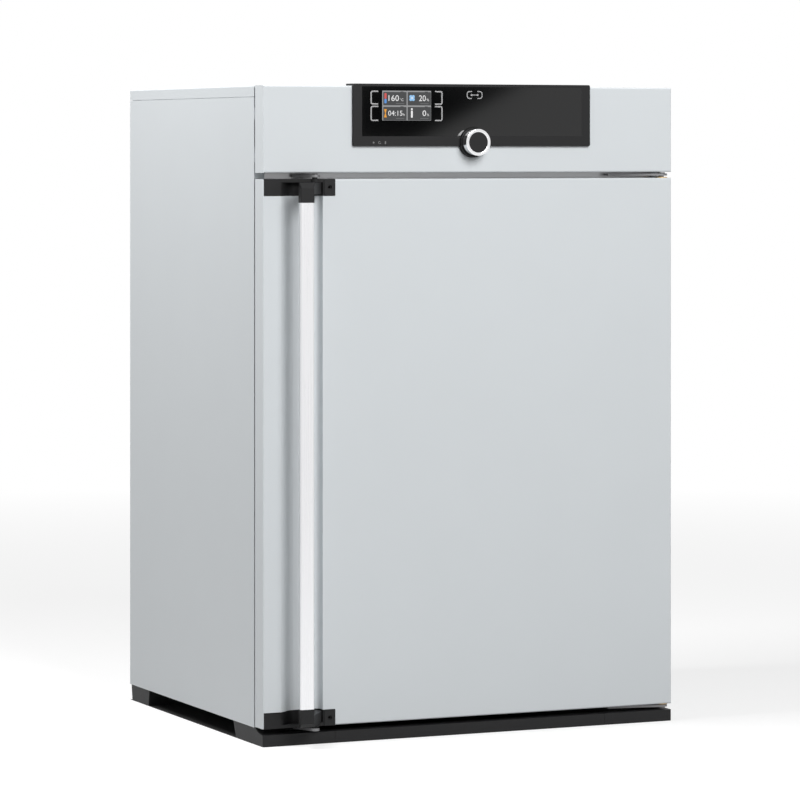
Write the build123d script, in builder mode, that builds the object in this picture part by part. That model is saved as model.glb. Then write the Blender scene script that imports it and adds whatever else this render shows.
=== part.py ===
"""Laboratory drying oven: a free-standing forced-air cabinet with a side-hung door.

Frame: +Z up, -Y towards the user, +X to the user's right. The origin lies on the floor, in the
middle of the cabinet's width and in the middle of its depth with the door handle counted.
All sizes are millimetres.
"""
import os
from math import cos, radians, sin

from build123d import *

# Overall size
WIDTH = 824
HEIGHT = 1183
DEPTH = 684
HANDLE_PROUD = 56

# Front: door, control fascia and the gaps round them
FRONT_THICK = 38
FRONT_SEAM = 5
DOOR_BOTTOM = 32
DOOR_TOP = 1015
FASCIA_BOTTOM = 1026
FRONT_EDGE_R = 3

# Sheet metal
SHEET = 1.5
FLANGE = 20
LID_EDGE = 20
LID_EDGE_R = 2.5
LID_SEAM = 0.8
REAR_RECESS = 10
FOOT_HEIGHT = 30

# Working chamber
CHAMBER_WIDTH = 640
CHAMBER_HEIGHT = 800
CHAMBER_DEPTH = 500
CHAMBER_FLOOR = 120
CHAMBER_CORNER_R = 10
PLENUM_DEPTH = 35
RIB_COUNT = 11
RIB_PITCH = 66
RIB_DEPTH = 9
RIB_TOP_HEIGHT = 8
RIB_LOW_HEIGHT = 4
RIB_FOOT_HEIGHT = 12
FIRST_RIB = 70
RIB_INSET = 24

# Fits
RUNNING_FIT = 0.05
SEAT_GAP = 0.3
PANEL_GAP = 0.5

# Insulation and heaters
HEATER_R = 3.5
HEATER_GAP = 10
HEATER_RUNS = 6
INSULATION_SIDE = 76
INSULATION_REAR = 42
INSULATION_TOP = 80

# Air circulation
BAFFLE_WIDTH = 580
BAFFLE_HEIGHT = 760
INTAKE_HOLE_R = 6
INTAKE_RING_STEP = 22
INTAKE_RINGS = 3
OUTLET_SLOTS = 8
FAN_R = 88
FAN_LENGTH = 20
FAN_BLADES = 12
FAN_BLADE_THICK = 2
FAN_SHAFT_R = 4
FAN_HUB_R = 12
MOTOR_R = 38
MOTOR_FLANGE = 110

# Exhaust with its damper
EXHAUST_X = -180
EXHAUST_Z = 860
EXHAUST_R = 24.6
EXHAUST_WALL = 2.4
EXHAUST_COLLAR_R = 25
EXHAUST_COLLAR_LENGTH = 20
DAMPER_R = 24
DAMPER_THICK = 1.5
DAMPER_SHAFT_R = 2
DAMPER_DISTANCE = 32

# Door
PLUG_DEPTH = 14
PLUG_GAP = 10
PLUG_CORNER_R = 18
GASKET_WIDTH = 16
GASKET_OFFSET = 14
HINGE_INSET = 12
HINGE_BACK = 18
HINGE_PIN_R = 5
HINGE_BUSH_R = 9
HINGE_PLATE_THICK = 4
HINGE_PLATE_REACH = 119

# Door handle
HANDLE_AXIS_X = -311
HANDLE_AXIS_BACK = 2
BAR_X = -348.5
BAR_WIDTH = 27
BAR_THICK = 14
BAR_BOTTOM = 71
BAR_TOP = 973
BRACKET_RIGHT = -272
BRACKET_HEIGHT = 30
BRACKET_DEPTH = 24
BRACKET_WEB = 6
BRACKET_PAD_PROUD = 1.5
BRACKET_BOSS_R = 9
BRACKET_EDGE_R = 1
RECESS_LEFT = -377
RECESS_RIGHT = -296
RECESS_DEPTH = 18
RECESS_RUN = 30
HUB_R = 12
LEVER_HEIGHT = 21
LEVER_PIN_R = 5
CAP_HEIGHT = 27
FINGER_THICK = 5
FINGER_LENGTH = 42
FINGER_WIDTH = 10
FINGER_ANGLE = 125
FINGER_LIFT = 3

# Control panel
PANEL_WIDTH = 478
PANEL_BOTTOM = 1074
PANEL_TOP = 1187
PANEL_PROUD = 6
PANEL_BODY_DEPTH = 25
PANEL_CAP_DEPTH = 27
PANEL_BODY_INSET = 4
GLASS_WIDTH = 443
GLASS_BOTTOM = 1092
GLASS_TOP = 1182
GLASS_THICK = 2
DISPLAY_X = -135
DISPLAY_Z = 1147.5
DISPLAY_WIDTH = 97
DISPLAY_HEIGHT = 54
DISPLAY_THICK = 6
KNOB_Z = 1081
KNOB_R = 24.5
KNOB_RING_WIDTH = 6
KNOB_FACE = 29
KNOB_PUSH = 1.5
BOSS_R = 28
BOSS_PROUD = 10
ENCODER_SHAFT_R = 3

# Foot and plinth
LIP_HEIGHT = 21
LIP_DEPTH = 30
FOOT_WIDTH = 40
FOOT_SEAM_X = 272
FOOT_SEAM = 0.4
FRONT_FOOT_LENGTH = 143
FOOT_TAPER = 13
FOOT_NOTCH = 37
REAR_FOOT_START = 577
REAR_FOOT_LENGTH = 99
REAR_FOOT_TAPER = 5

# Shelves
SHELF_ROD_R = 3
SHELF_WIRE_R = 1.5
SHELF_WIRES = 19
SHELF_CROSS_R = 2.5
SHELF_CORNER_R = 12
SHELF_SIDE_GAP = 1.5
SHELF_FRONT_INSET = 23
SHELF_REAR_INSET = 22
SHELF_RIBS = (3, 7)

# Rear connections
CONNECTION_Z = 1090
INLET_X = 345
SWITCH_X = 285
FUSE_X = 235
ETHERNET_X = 190
COOLING_FAN_X = -250
COOLING_FAN_SIZE = 80
COOLING_FAN_DEPTH = 25

# Places worked out from the sizes above
x_side = WIDTH / 2
y_rear = (DEPTH + HANDLE_PROUD) / 2
y_front = y_rear - DEPTH
y_front_back = y_front + FRONT_THICK
y_case = y_front_back + FRONT_SEAM
y_frame = y_case + SHEET
y_liner = y_frame + SHEET
y_baffle = y_frame + CHAMBER_DEPTH
y_liner_rear = y_baffle + SHEET + PLENUM_DEPTH
y_insulation_rear = y_liner_rear + SHEET + HEATER_GAP + INSULATION_REAR
y_rear_flange = y_rear - REAR_RECESS
y_rear_panel = y_rear_flange - SHEET
z_case = HEIGHT - LID_EDGE - LID_SEAM
z_inner = FOOT_HEIGHT + SHEET
chamber_top = CHAMBER_FLOOR + CHAMBER_HEIGHT
z_chamber = CHAMBER_FLOOR + CHAMBER_HEIGHT / 2
x_chamber = CHAMBER_WIDTH / 2
z_compartment = chamber_top + SHEET + HEATER_GAP + INSULATION_TOP
x_hinge = x_side - HINGE_INSET
y_hinge = y_front + HINGE_BACK
y_handle = y_front + HANDLE_AXIS_BACK
y_bar = y_front - HANDLE_PROUD + BAR_THICK / 2
y_plug = y_front_back + PLUG_DEPTH
x_inner = x_side - SHEET - PANEL_GAP

os.makedirs("parts", exist_ok=True)


def front_plane(y):
    """A plane that faces the user at depth y, with X to the right and Z up."""
    return Plane.XZ.offset(-y)


def side_plane(x):
    """A plane across the cabinet at width x, with Y to the right and Z up."""
    return Plane.YZ.offset(x)


def polygon(points):
    """A filled outline through the points, inside the sketch that calls it."""
    with BuildLine() as outline:
        Polyline(*points, close=True)
    make_face(outline.edges())


def block(x0, x1, y0, y1, z0, z1, mode=Mode.ADD):
    """A rectangular block between two corners, inside the part that calls it."""
    with Locations(((x0 + x1) / 2, (y0 + y1) / 2, (z0 + z1) / 2)):
        Box(abs(x1 - x0), abs(y1 - y0), abs(z1 - z0), mode=mode)


def post_y(x, z, y0, y1, radius, mode=Mode.ADD):
    """A round post along Y from y0 back to y1, inside the part that calls it."""
    with BuildSketch(front_plane(y0)) as section:
        with Locations((x, z)):
            Circle(radius)
    extrude(section.sketch, amount=-(y1 - y0), mode=mode)


def post_z(x, y, z0, z1, radius, mode=Mode.ADD):
    """A round upright post from z0 up to z1, inside the part that calls it."""
    with BuildSketch(Plane.XY.offset(z0)) as section:
        with Locations((x, y)):
            Circle(radius)
    extrude(section.sketch, amount=z1 - z0, mode=mode)


def save(builder, name):
    """Label a finished piece and write it."""
    builder.part.label = name
    export_step(builder.part, f"parts/{name}.step")


# Casing: two folded side panels
with BuildPart() as side_panel_left:
    with BuildSketch(Plane.XY.offset(FOOT_HEIGHT)):
        polygon([
            (-x_side, y_case),
            (-x_side + FLANGE, y_case),
            (-x_side + FLANGE, y_frame),
            (-x_side + SHEET, y_frame),
            (-x_side + SHEET, y_rear_flange),
            (-x_side + FLANGE, y_rear_flange),
            (-x_side + FLANGE, y_rear_flange + SHEET),
            (-x_side + SHEET, y_rear_flange + SHEET),
            (-x_side + SHEET, y_rear),
            (-x_side, y_rear),
        ])
    extrude(amount=z_case - FOOT_HEIGHT)
    for z_flange in (FOOT_HEIGHT, z_case - SHEET):
        block(-x_side, -x_side + FLANGE, y_case, y_rear_flange, z_flange, z_flange + SHEET)
save(side_panel_left, "side_panel_left")

with BuildPart() as side_panel_right:
    mirror(side_panel_left.part, about=Plane.YZ)
save(side_panel_right, "side_panel_right")

# Lid with folded edges
with BuildPart() as lid:
    with BuildSketch(Plane.XY.offset(HEIGHT - LID_EDGE)):
        with Locations((0, (y_case + y_rear) / 2)):
            Rectangle(WIDTH, y_rear - y_case)
    extrude(amount=LID_EDGE)
    fillet(lid.faces().sort_by(Axis.Z)[-1].edges().filter_by(Axis.Y), LID_EDGE_R)
    offset(amount=-SHEET, openings=lid.faces().sort_by(Axis.Z)[0])
    block(-x_side + SHEET, x_side - SHEET, y_case + FLANGE, y_rear_flange, z_case, HEIGHT - LID_EDGE + SHEET)
    block(
        -x_side + FLANGE, x_side - FLANGE, y_case + 2 * FLANGE, y_rear_flange - FLANGE,
        z_case, HEIGHT - LID_EDGE + SHEET, mode=Mode.SUBTRACT,
    )
save(lid, "lid")

# Floor of the casing
with BuildPart() as bottom_panel:
    block(-x_inner, x_inner, y_liner, y_rear_panel, z_inner, z_inner + SHEET)
    block(-x_inner, x_inner, y_rear_panel - SHEET, y_rear_panel, z_inner, z_inner + FLANGE)
save(bottom_panel, "bottom_panel")

# Stainless front frame round the chamber opening
with BuildPart() as front_frame:
    with BuildSketch(front_plane(y_frame)):
        with Locations((0, (z_inner + z_case - SHEET) / 2)):
            Rectangle(2 * x_inner, z_case - SHEET - z_inner)
        with Locations((0, z_chamber)):
            RectangleRounded(CHAMBER_WIDTH, CHAMBER_HEIGHT, CHAMBER_CORNER_R, mode=Mode.SUBTRACT)
        with Locations((0, (PANEL_BOTTOM + GLASS_TOP) / 2 - FLANGE)):
            Rectangle(PANEL_WIDTH - 4 * FLANGE, 4 * FLANGE, mode=Mode.SUBTRACT)
    extrude(amount=-SHEET)
save(front_frame, "front_frame")

# Rear panel with louvre slots and holes for what passes through it
cooling_grille_slot = 5
with BuildPart() as rear_panel:
    with BuildSketch(front_plane(y_rear_panel)):
        with Locations((0, (z_inner + z_case - SHEET) / 2)):
            Rectangle(2 * x_inner, z_case - SHEET - z_inner)
        with Locations((EXHAUST_X, EXHAUST_Z)):
            Circle(EXHAUST_R + EXHAUST_WALL + PANEL_GAP, mode=Mode.SUBTRACT)
        with Locations((COOLING_FAN_X, CONNECTION_Z)):
            with GridLocations(COOLING_FAN_SIZE, 2 * cooling_grille_slot, 1, 7):
                SlotOverall(COOLING_FAN_SIZE - 12, cooling_grille_slot, mode=Mode.SUBTRACT)
        with Locations((0, DOOR_BOTTOM + 90)):
            with GridLocations(160, 14, 3, 5):
                SlotOverall(110, cooling_grille_slot, mode=Mode.SUBTRACT)
        with Locations((INLET_X, CONNECTION_Z)):
            Rectangle(28 + PANEL_GAP, 20 + PANEL_GAP, mode=Mode.SUBTRACT)
        with Locations((SWITCH_X, CONNECTION_Z)):
            Rectangle(22 + PANEL_GAP, 30 + PANEL_GAP, mode=Mode.SUBTRACT)
        with Locations((ETHERNET_X, CONNECTION_Z)):
            Rectangle(16 + PANEL_GAP, 14 + PANEL_GAP, mode=Mode.SUBTRACT)
        with Locations((FUSE_X, CONNECTION_Z)):
            with GridLocations(1, 24, 1, 2):
                Circle(6 + PANEL_GAP / 2, mode=Mode.SUBTRACT)
    extrude(amount=-SHEET)
save(rear_panel, "rear_panel")

# Floor of the electronics compartment, above the insulation
with BuildPart() as compartment_floor:
    block(-x_inner, x_inner, y_liner, y_rear_panel, z_compartment, z_compartment + SHEET)
    block(-x_inner, x_inner, y_liner, y_liner + SHEET, z_compartment, z_compartment + FLANGE)
save(compartment_floor, "compartment_floor")

# Control fascia: a folded shell with a notch for the control panel
body_half = PANEL_WIDTH / 2 - PANEL_BODY_INSET
body_bottom = PANEL_BOTTOM + PANEL_BODY_INSET
with BuildPart() as front_fascia:
    with BuildSketch(front_plane(y_front)):
        with Locations((0, (FASCIA_BOTTOM + HEIGHT) / 2)):
            Rectangle(WIDTH, HEIGHT - FASCIA_BOTTOM)
    extrude(amount=-FRONT_THICK)
    fillet(front_fascia.faces().sort_by(Axis.Y)[0].edges(), FRONT_EDGE_R)
    offset(amount=-SHEET, openings=front_fascia.faces().sort_by(Axis.Y)[-1])
    block(
        -body_half - PANEL_GAP, body_half + PANEL_GAP, y_front - 1, y_front + PANEL_BODY_DEPTH + PANEL_GAP,
        body_bottom - PANEL_GAP, HEIGHT + 1, mode=Mode.SUBTRACT,
    )
    for x_tab in (-x_side + SHEET, x_side - SHEET - FLANGE):
        for z_tab in (FASCIA_BOTTOM + FLANGE, HEIGHT - 2 * FLANGE - LID_EDGE):
            block(x_tab, x_tab + FLANGE, y_front + FLANGE, y_case, z_tab, z_tab + FLANGE)
save(front_fascia, "front_fascia")

# Front feet: a low lip under the door that runs round into a taller foot under the side panel
with BuildPart() as front_foot_left:
    with BuildSketch(side_plane(-x_side)):
        with BuildLine():
            Polyline(
                (y_front + FOOT_NOTCH, FOOT_HEIGHT),
                (y_front + FRONT_FOOT_LENGTH, FOOT_HEIGHT),
                (y_front + FRONT_FOOT_LENGTH - FOOT_TAPER, 0),
                (y_front, 0),
                (y_front, LIP_HEIGHT),
            )
            RadiusArc((y_front, LIP_HEIGHT), (y_front + FOOT_NOTCH, FOOT_HEIGHT), -60)
        make_face()
    extrude(amount=FOOT_WIDTH)
    block(-x_side, -FOOT_SEAM_X, y_front, y_front + LIP_DEPTH, 0, LIP_HEIGHT)
    fillet(
        front_foot_left.edges().filter_by(Axis.Z).group_by(Axis.X)[0].sort_by(Axis.Y)[0], FRONT_EDGE_R
    )
save(front_foot_left, "front_foot_left")

with BuildPart() as front_foot_right:
    with BuildSketch(side_plane(x_side - FOOT_WIDTH)):
        polygon([
            (y_front, 0),
            (y_front, LIP_HEIGHT),
            (y_case, LIP_HEIGHT),
            (y_case, FOOT_HEIGHT),
            (y_front + FRONT_FOOT_LENGTH, FOOT_HEIGHT),
            (y_front + FRONT_FOOT_LENGTH - FOOT_TAPER, 0),
        ])
    extrude(amount=FOOT_WIDTH)
    block(FOOT_SEAM_X, x_side, y_front, y_front + LIP_DEPTH, 0, LIP_HEIGHT)
    fillet(
        front_foot_right.edges().filter_by(Axis.Z).group_by(Axis.X)[-1].sort_by(Axis.Y)[0], FRONT_EDGE_R
    )
save(front_foot_right, "front_foot_right")

with BuildPart() as plinth_strip:
    block(
        -FOOT_SEAM_X + FOOT_SEAM, FOOT_SEAM_X - FOOT_SEAM, y_front, y_front + LIP_DEPTH, 0, LIP_HEIGHT
    )
save(plinth_strip, "plinth_strip")

# Rear feet
with BuildPart() as rear_foot_left:
    with BuildSketch(side_plane(-x_side)):
        polygon([
            (y_front + REAR_FOOT_START, FOOT_HEIGHT),
            (y_front + REAR_FOOT_START + REAR_FOOT_LENGTH, FOOT_HEIGHT),
            (y_front + REAR_FOOT_START + REAR_FOOT_LENGTH - REAR_FOOT_TAPER, 0),
            (y_front + REAR_FOOT_START + REAR_FOOT_TAPER, 0),
        ])
    extrude(amount=FOOT_WIDTH)
save(rear_foot_left, "rear_foot_left")

with BuildPart() as rear_foot_right:
    mirror(rear_foot_left.part, about=Plane.YZ)
save(rear_foot_right, "rear_foot_right")

# Chamber liner with pressed shelf ribs on both side walls
rib_heights = [CHAMBER_FLOOR + FIRST_RIB + number * RIB_PITCH for number in range(RIB_COUNT)]


def rib_outline(side, inset):
    """One rib's section on the wall at side (-1 left, 1 right), smaller all round by inset."""
    wall = side * (x_chamber + SHEET - (SHEET if inset == 0 else -1))
    crest = side * (x_chamber - RIB_DEPTH + inset)
    polygon([
        (wall, RIB_TOP_HEIGHT - inset),
        (crest, RIB_TOP_HEIGHT - inset),
        (crest, -RIB_LOW_HEIGHT + inset / 2),
        (wall, -RIB_FOOT_HEIGHT + inset),
    ])


with BuildPart() as chamber_liner:
    with BuildSketch(front_plane(y_liner)):
        with Locations((0, z_chamber)):
            RectangleRounded(
                CHAMBER_WIDTH + 2 * SHEET, CHAMBER_HEIGHT + 2 * SHEET, CHAMBER_CORNER_R + SHEET
            )
    extrude(amount=-(y_liner_rear + SHEET - y_liner))
    with BuildSketch(front_plane(y_liner)):
        with Locations((0, z_chamber)):
            RectangleRounded(CHAMBER_WIDTH, CHAMBER_HEIGHT, CHAMBER_CORNER_R)
    extrude(amount=-(y_liner_rear - y_liner), mode=Mode.SUBTRACT)
    for z_rib in rib_heights:
        for rib_side in (-1, 1):
            with BuildSketch(front_plane(y_liner + RIB_INSET).shift_origin((0, y_liner + RIB_INSET, z_rib))):
                rib_outline(rib_side, 0)
            extrude(amount=-(y_baffle - y_liner - 2 * RIB_INSET))
            with BuildSketch(
                front_plane(y_liner + RIB_INSET + SHEET).shift_origin((0, y_liner + RIB_INSET + SHEET, z_rib))
            ):
                rib_outline(rib_side, SHEET)
            extrude(amount=-(y_baffle - y_liner - 2 * RIB_INSET - 2 * SHEET), mode=Mode.SUBTRACT)
    post_y(0, z_chamber, y_liner_rear - 1, y_liner_rear + SHEET + 1, FAN_SHAFT_R + 2, mode=Mode.SUBTRACT)
    post_y(
        EXHAUST_X, EXHAUST_Z, y_liner_rear - 1, y_liner_rear + SHEET + 1, EXHAUST_R, mode=Mode.SUBTRACT
    )
    for x_probe in (150, 172):
        post_y(x_probe, 830, y_liner_rear - 1, y_liner_rear + SHEET + 1, 2.6, mode=Mode.SUBTRACT)
save(chamber_liner, "chamber_liner")

# Tubular heating loops wound round the liner
heater_half_x = x_chamber + SHEET + HEATER_R + SEAT_GAP
heater_half_z = CHAMBER_HEIGHT / 2 + SHEET + HEATER_R + SEAT_GAP
heater_pitch = (y_liner_rear - y_liner - 120) / (HEATER_RUNS - 1)
with BuildPart() as heating_elements:
    for run in range(HEATER_RUNS):
        y_run = y_liner + 60 + run * heater_pitch
        with BuildLine() as heater_path:
            with BuildLine(front_plane(y_run)):
                FilletPolyline(
                    (30, z_chamber - heater_half_z),
                    (heater_half_x, z_chamber - heater_half_z),
                    (heater_half_x, z_chamber + heater_half_z),
                    (-heater_half_x, z_chamber + heater_half_z),
                    (-heater_half_x, z_chamber - heater_half_z),
                    (-30, z_chamber - heater_half_z),
                    radius=CHAMBER_CORNER_R + SHEET + HEATER_R,
                )
        with BuildSketch(Plane(origin=(30, y_run, z_chamber - heater_half_z), z_dir=(1, 0, 0))):
            Circle(HEATER_R)
        sweep(path=heater_path.wires()[0])
save(heating_elements, "heating_elements")

# Insulation blanket between the liner and the casing
with BuildPart() as insulation:
    block(
        -x_chamber - SHEET - HEATER_GAP - INSULATION_SIDE, x_chamber + SHEET + HEATER_GAP + INSULATION_SIDE,
        y_liner, y_insulation_rear, z_inner + SHEET, z_compartment,
    )
    block(
        -x_chamber - SHEET - HEATER_GAP, x_chamber + SHEET + HEATER_GAP,
        y_liner - 1, y_liner_rear + SHEET + HEATER_GAP,
        CHAMBER_FLOOR - SHEET - HEATER_GAP, chamber_top + SHEET + HEATER_GAP, mode=Mode.SUBTRACT,
    )
    post_y(0, z_chamber, y_liner_rear, y_insulation_rear + 1, FAN_HUB_R, mode=Mode.SUBTRACT)
    post_y(EXHAUST_X, EXHAUST_Z, y_liner_rear, y_insulation_rear + 1, EXHAUST_R + FRONT_SEAM, mode=Mode.SUBTRACT)
    block(
        EXHAUST_X - 20, EXHAUST_X + 20, y_liner_rear, y_insulation_rear + 1,
        EXHAUST_Z, EXHAUST_Z + EXHAUST_R + 36, mode=Mode.SUBTRACT,
    )
    for x_probe in (150, 172):
        post_y(x_probe, 830, y_liner_rear, y_insulation_rear + 1, 4, mode=Mode.SUBTRACT)
save(insulation, "insulation")

# Fan baffle: a pan in front of the plenum, perforated over the fan, slotted at its sides
with BuildPart() as fan_baffle:
    with BuildSketch(front_plane(y_baffle)):
        with Locations((0, z_chamber)):
            RectangleRounded(BAFFLE_WIDTH, BAFFLE_HEIGHT, CHAMBER_CORNER_R)
    extrude(amount=-(y_liner_rear - y_baffle))
    fillet(fan_baffle.faces().sort_by(Axis.Y)[0].edges(), FRONT_EDGE_R)
    offset(amount=-SHEET, openings=fan_baffle.faces().sort_by(Axis.Y)[-1])
    with BuildSketch(front_plane(y_baffle - 1)):
        with Locations((0, z_chamber)):
            Circle(INTAKE_HOLE_R)
            for ring in range(1, INTAKE_RINGS + 1):
                with PolarLocations(ring * INTAKE_RING_STEP, 6 * ring):
                    Circle(INTAKE_HOLE_R)
        with Locations((EXHAUST_X - 40, EXHAUST_Z)):
            with GridLocations(16, 1, 5, 1):
                Rectangle(6, 30)
        for x_probe in (150, 172):
            with Locations((x_probe, 830)):
                Circle(3)
    extrude(amount=-(SHEET + 2), mode=Mode.SUBTRACT)
    with BuildSketch(side_plane(-x_chamber)):
        with Locations((y_baffle + SHEET + PLENUM_DEPTH / 2, z_chamber)):
            with GridLocations(1, BAFFLE_HEIGHT / (OUTLET_SLOTS + 1), 1, OUTLET_SLOTS):
                Rectangle(PLENUM_DEPTH / 2, BAFFLE_HEIGHT / (OUTLET_SLOTS + 4))
    extrude(amount=CHAMBER_WIDTH, mode=Mode.SUBTRACT)
save(fan_baffle, "fan_baffle")

# Circulation fan wheel on its shaft, and the motor behind the insulation
y_wheel = y_baffle + SHEET + 8
y_wheel_back = y_wheel + FAN_LENGTH
blade_line = RadiusArc((FAN_R - 50, 0), (FAN_R - 4, 20), -60, mode=Mode.PRIVATE)
with BuildPart() as fan_impeller:
    post_y(0, z_chamber, y_wheel_back - SHEET, y_wheel_back, FAN_R)
    post_y(0, z_chamber, y_wheel, y_wheel_back, FAN_HUB_R)
    with BuildSketch(front_plane(y_wheel)):
        with Locations((0, z_chamber)):
            with PolarLocations(0, FAN_BLADES):
                SlotArc(blade_line, FAN_BLADE_THICK)
    extrude(amount=-(FAN_LENGTH - SHEET / 2))
    with BuildSketch(front_plane(y_wheel)):
        with Locations((0, z_chamber)):
            Circle(FAN_R)
            Circle(FAN_R - 18, mode=Mode.SUBTRACT)
    extrude(amount=-SHEET)
    post_y(
        0, z_chamber, y_wheel - 1, y_wheel_back + 1, FAN_SHAFT_R + RUNNING_FIT, mode=Mode.SUBTRACT
    )
save(fan_impeller, "fan_impeller")

with BuildPart() as fan_shaft:
    post_y(0, z_chamber, y_wheel - 3, y_insulation_rear + FLANGE, FAN_SHAFT_R)
    chamfer(fan_shaft.edges().filter_by(GeomType.CIRCLE), 0.6)
    post_y(0, z_chamber, y_wheel - 5, y_wheel - SEAT_GAP, FAN_SHAFT_R + 3)
save(fan_shaft, "fan_shaft")

motor_length = y_rear_panel - y_insulation_rear - 3
with BuildPart() as fan_motor:
    with BuildSketch(front_plane(y_insulation_rear)):
        with Locations((0, z_chamber)):
            RectangleRounded(MOTOR_FLANGE, MOTOR_FLANGE, 8)
    extrude(amount=-3)
    post_y(0, z_chamber, y_insulation_rear, y_insulation_rear + motor_length, MOTOR_R)
    fillet(fan_motor.faces().sort_by(Axis.Y)[-1].edges(), 5)
    with Locations(front_plane(y_insulation_rear)):
        with Locations((0, z_chamber)):
            with PolarLocations(MOTOR_FLANGE / 2, 4, start_angle=45):
                Hole(2.5, 5)
    post_y(
        0, z_chamber, y_insulation_rear - 1, y_insulation_rear + FLANGE + 2,
        FAN_SHAFT_R + RUNNING_FIT, mode=Mode.SUBTRACT,
    )
save(fan_motor, "fan_motor")

# Exhaust duct with a collar at the rear, and a damper disc turned by a small motor
y_damper = y_liner_rear + SHEET + DAMPER_DISTANCE
y_exhaust_end = y_rear - 2
z_damper_motor = EXHAUST_Z + EXHAUST_R + EXHAUST_WALL + SEAT_GAP
with BuildPart() as exhaust_duct:
    post_y(EXHAUST_X, EXHAUST_Z, y_liner_rear + SHEET, y_exhaust_end, EXHAUST_R + EXHAUST_WALL)
    post_y(EXHAUST_X, EXHAUST_Z, y_liner_rear + SHEET, y_liner_rear + 2 * SHEET, EXHAUST_R + FRONT_SEAM - 1)
    post_y(
        EXHAUST_X, EXHAUST_Z, y_liner_rear, y_exhaust_end - EXHAUST_COLLAR_LENGTH, EXHAUST_R, mode=Mode.SUBTRACT
    )
    post_y(
        EXHAUST_X, EXHAUST_Z, y_exhaust_end - EXHAUST_COLLAR_LENGTH, y_exhaust_end + 1,
        EXHAUST_COLLAR_R, mode=Mode.SUBTRACT,
    )
    post_z(EXHAUST_X, y_damper, EXHAUST_Z, z_damper_motor, DAMPER_SHAFT_R + RUNNING_FIT, mode=Mode.SUBTRACT)
save(exhaust_duct, "exhaust_duct")

with BuildPart() as damper_flap:
    post_y(EXHAUST_X, EXHAUST_Z, y_damper - DAMPER_THICK / 2, y_damper + DAMPER_THICK / 2, DAMPER_R)
    post_z(EXHAUST_X, y_damper, EXHAUST_Z - DAMPER_R + 3, z_damper_motor + 8, DAMPER_SHAFT_R)
save(damper_flap, "damper_flap")

with BuildPart() as damper_motor:
    with BuildSketch(Plane.XY.offset(z_damper_motor)):
        with Locations((EXHAUST_X, y_damper)):
            RectangleRounded(30, 26, 4)
    extrude(amount=24)
    post_z(
        EXHAUST_X, y_damper, z_damper_motor - 1, z_damper_motor + 10,
        DAMPER_SHAFT_R + RUNNING_FIT, mode=Mode.SUBTRACT,
    )
save(damper_motor, "damper_motor")

# Two temperature probes through the liner's rear wall
with BuildPart() as temperature_probes:
    for x_probe in (150, 172):
        post_y(x_probe, 830, y_baffle - 30, y_liner_rear + FLANGE, 2.5)
        post_y(x_probe, 830, y_liner_rear + SHEET + SEAT_GAP, y_liner_rear + SHEET + 6, 3.6)
    fillet(temperature_probes.faces().sort_by(Axis.Y)[:2].edges(), 2.2)
save(temperature_probes, "temperature_probes")

# Wire shelves that rest on the ribs
x_rod = x_chamber - SHELF_SIDE_GAP - SHELF_ROD_R
y_shelf_front = y_frame + SHELF_FRONT_INSET + SHELF_ROD_R
y_shelf_rear = y_baffle - SHELF_REAR_INSET - SHELF_ROD_R


def wire_shelf(rib):
    """A welded wire shelf lying on the rib of that number."""
    z_rod = rib_heights[rib] + RIB_TOP_HEIGHT + SEAT_GAP + SHELF_ROD_R
    with BuildPart() as shelf:
        with BuildLine(Plane.XY.offset(z_rod)) as rod_path:
            FilletPolyline(
                (x_rod, y_shelf_front),
                (x_rod, y_shelf_rear),
                (-x_rod, y_shelf_rear),
                (-x_rod, y_shelf_front),
                radius=SHELF_CORNER_R,
                close=True,
            )
        rod_wire = rod_path.wires()[0]
        with BuildSketch(Plane(origin=rod_wire @ 0, z_dir=rod_wire % 0)):
            Circle(SHELF_ROD_R)
        sweep(path=rod_wire)
        wire_step = 2 * x_rod / (SHELF_WIRES + 1)
        with BuildSketch(front_plane(y_shelf_front)):
            with Locations((0, z_rod + SHELF_ROD_R - SHELF_WIRE_R)):
                with GridLocations(wire_step, 1, SHELF_WIRES, 1):
                    Circle(SHELF_WIRE_R)
        extrude(amount=-(y_shelf_rear - y_shelf_front))
        x_cross = x_chamber - RIB_DEPTH - 3
        z_cross = z_rod + SHELF_ROD_R - 2 * SHELF_WIRE_R - SHELF_CROSS_R + 0.5
        for share in (1 / 3, 2 / 3):
            y_cross = y_shelf_front + share * (y_shelf_rear - y_shelf_front)
            with BuildSketch(side_plane(-x_cross)):
                with Locations((y_cross, z_cross)):
                    Circle(SHELF_CROSS_R)
            extrude(amount=2 * x_cross)
    return shelf


shelf_lower = wire_shelf(SHELF_RIBS[0])
save(shelf_lower, "shelf_lower")
shelf_upper = wire_shelf(SHELF_RIBS[1])
save(shelf_upper, "shelf_upper")

# Hinge plates on the cabinet, with their pins
z_plate_top = DOOR_TOP + 4
z_plate_bottom = FOOT_HEIGHT - HINGE_PLATE_THICK - PANEL_GAP
x_plate = x_side - HINGE_PLATE_REACH


def hinge_outline(y_back):
    """The plate's outline: straight at the frame, rounded round the pin."""
    x_plate_right = x_side - FLANGE - 2
    y_plate_front = y_hinge + FLANGE / 2
    with Locations(((x_plate + x_plate_right) / 2, (y_back + y_plate_front) / 2)):
        Rectangle(x_plate_right - x_plate, y_back - y_plate_front)
    with Locations((x_hinge, y_hinge)):
        Circle(HINGE_INSET - 1)
    make_hull()


with BuildPart() as hinge_plate_top:
    with BuildSketch(Plane.XY.offset(z_plate_top)):
        hinge_outline(y_frame)
    extrude(amount=HINGE_PLATE_THICK)
    post_z(x_hinge, y_hinge, z_plate_top - 1, z_plate_top + 9, HINGE_PIN_R + RUNNING_FIT, mode=Mode.SUBTRACT)
save(hinge_plate_top, "hinge_plate_top")

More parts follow.
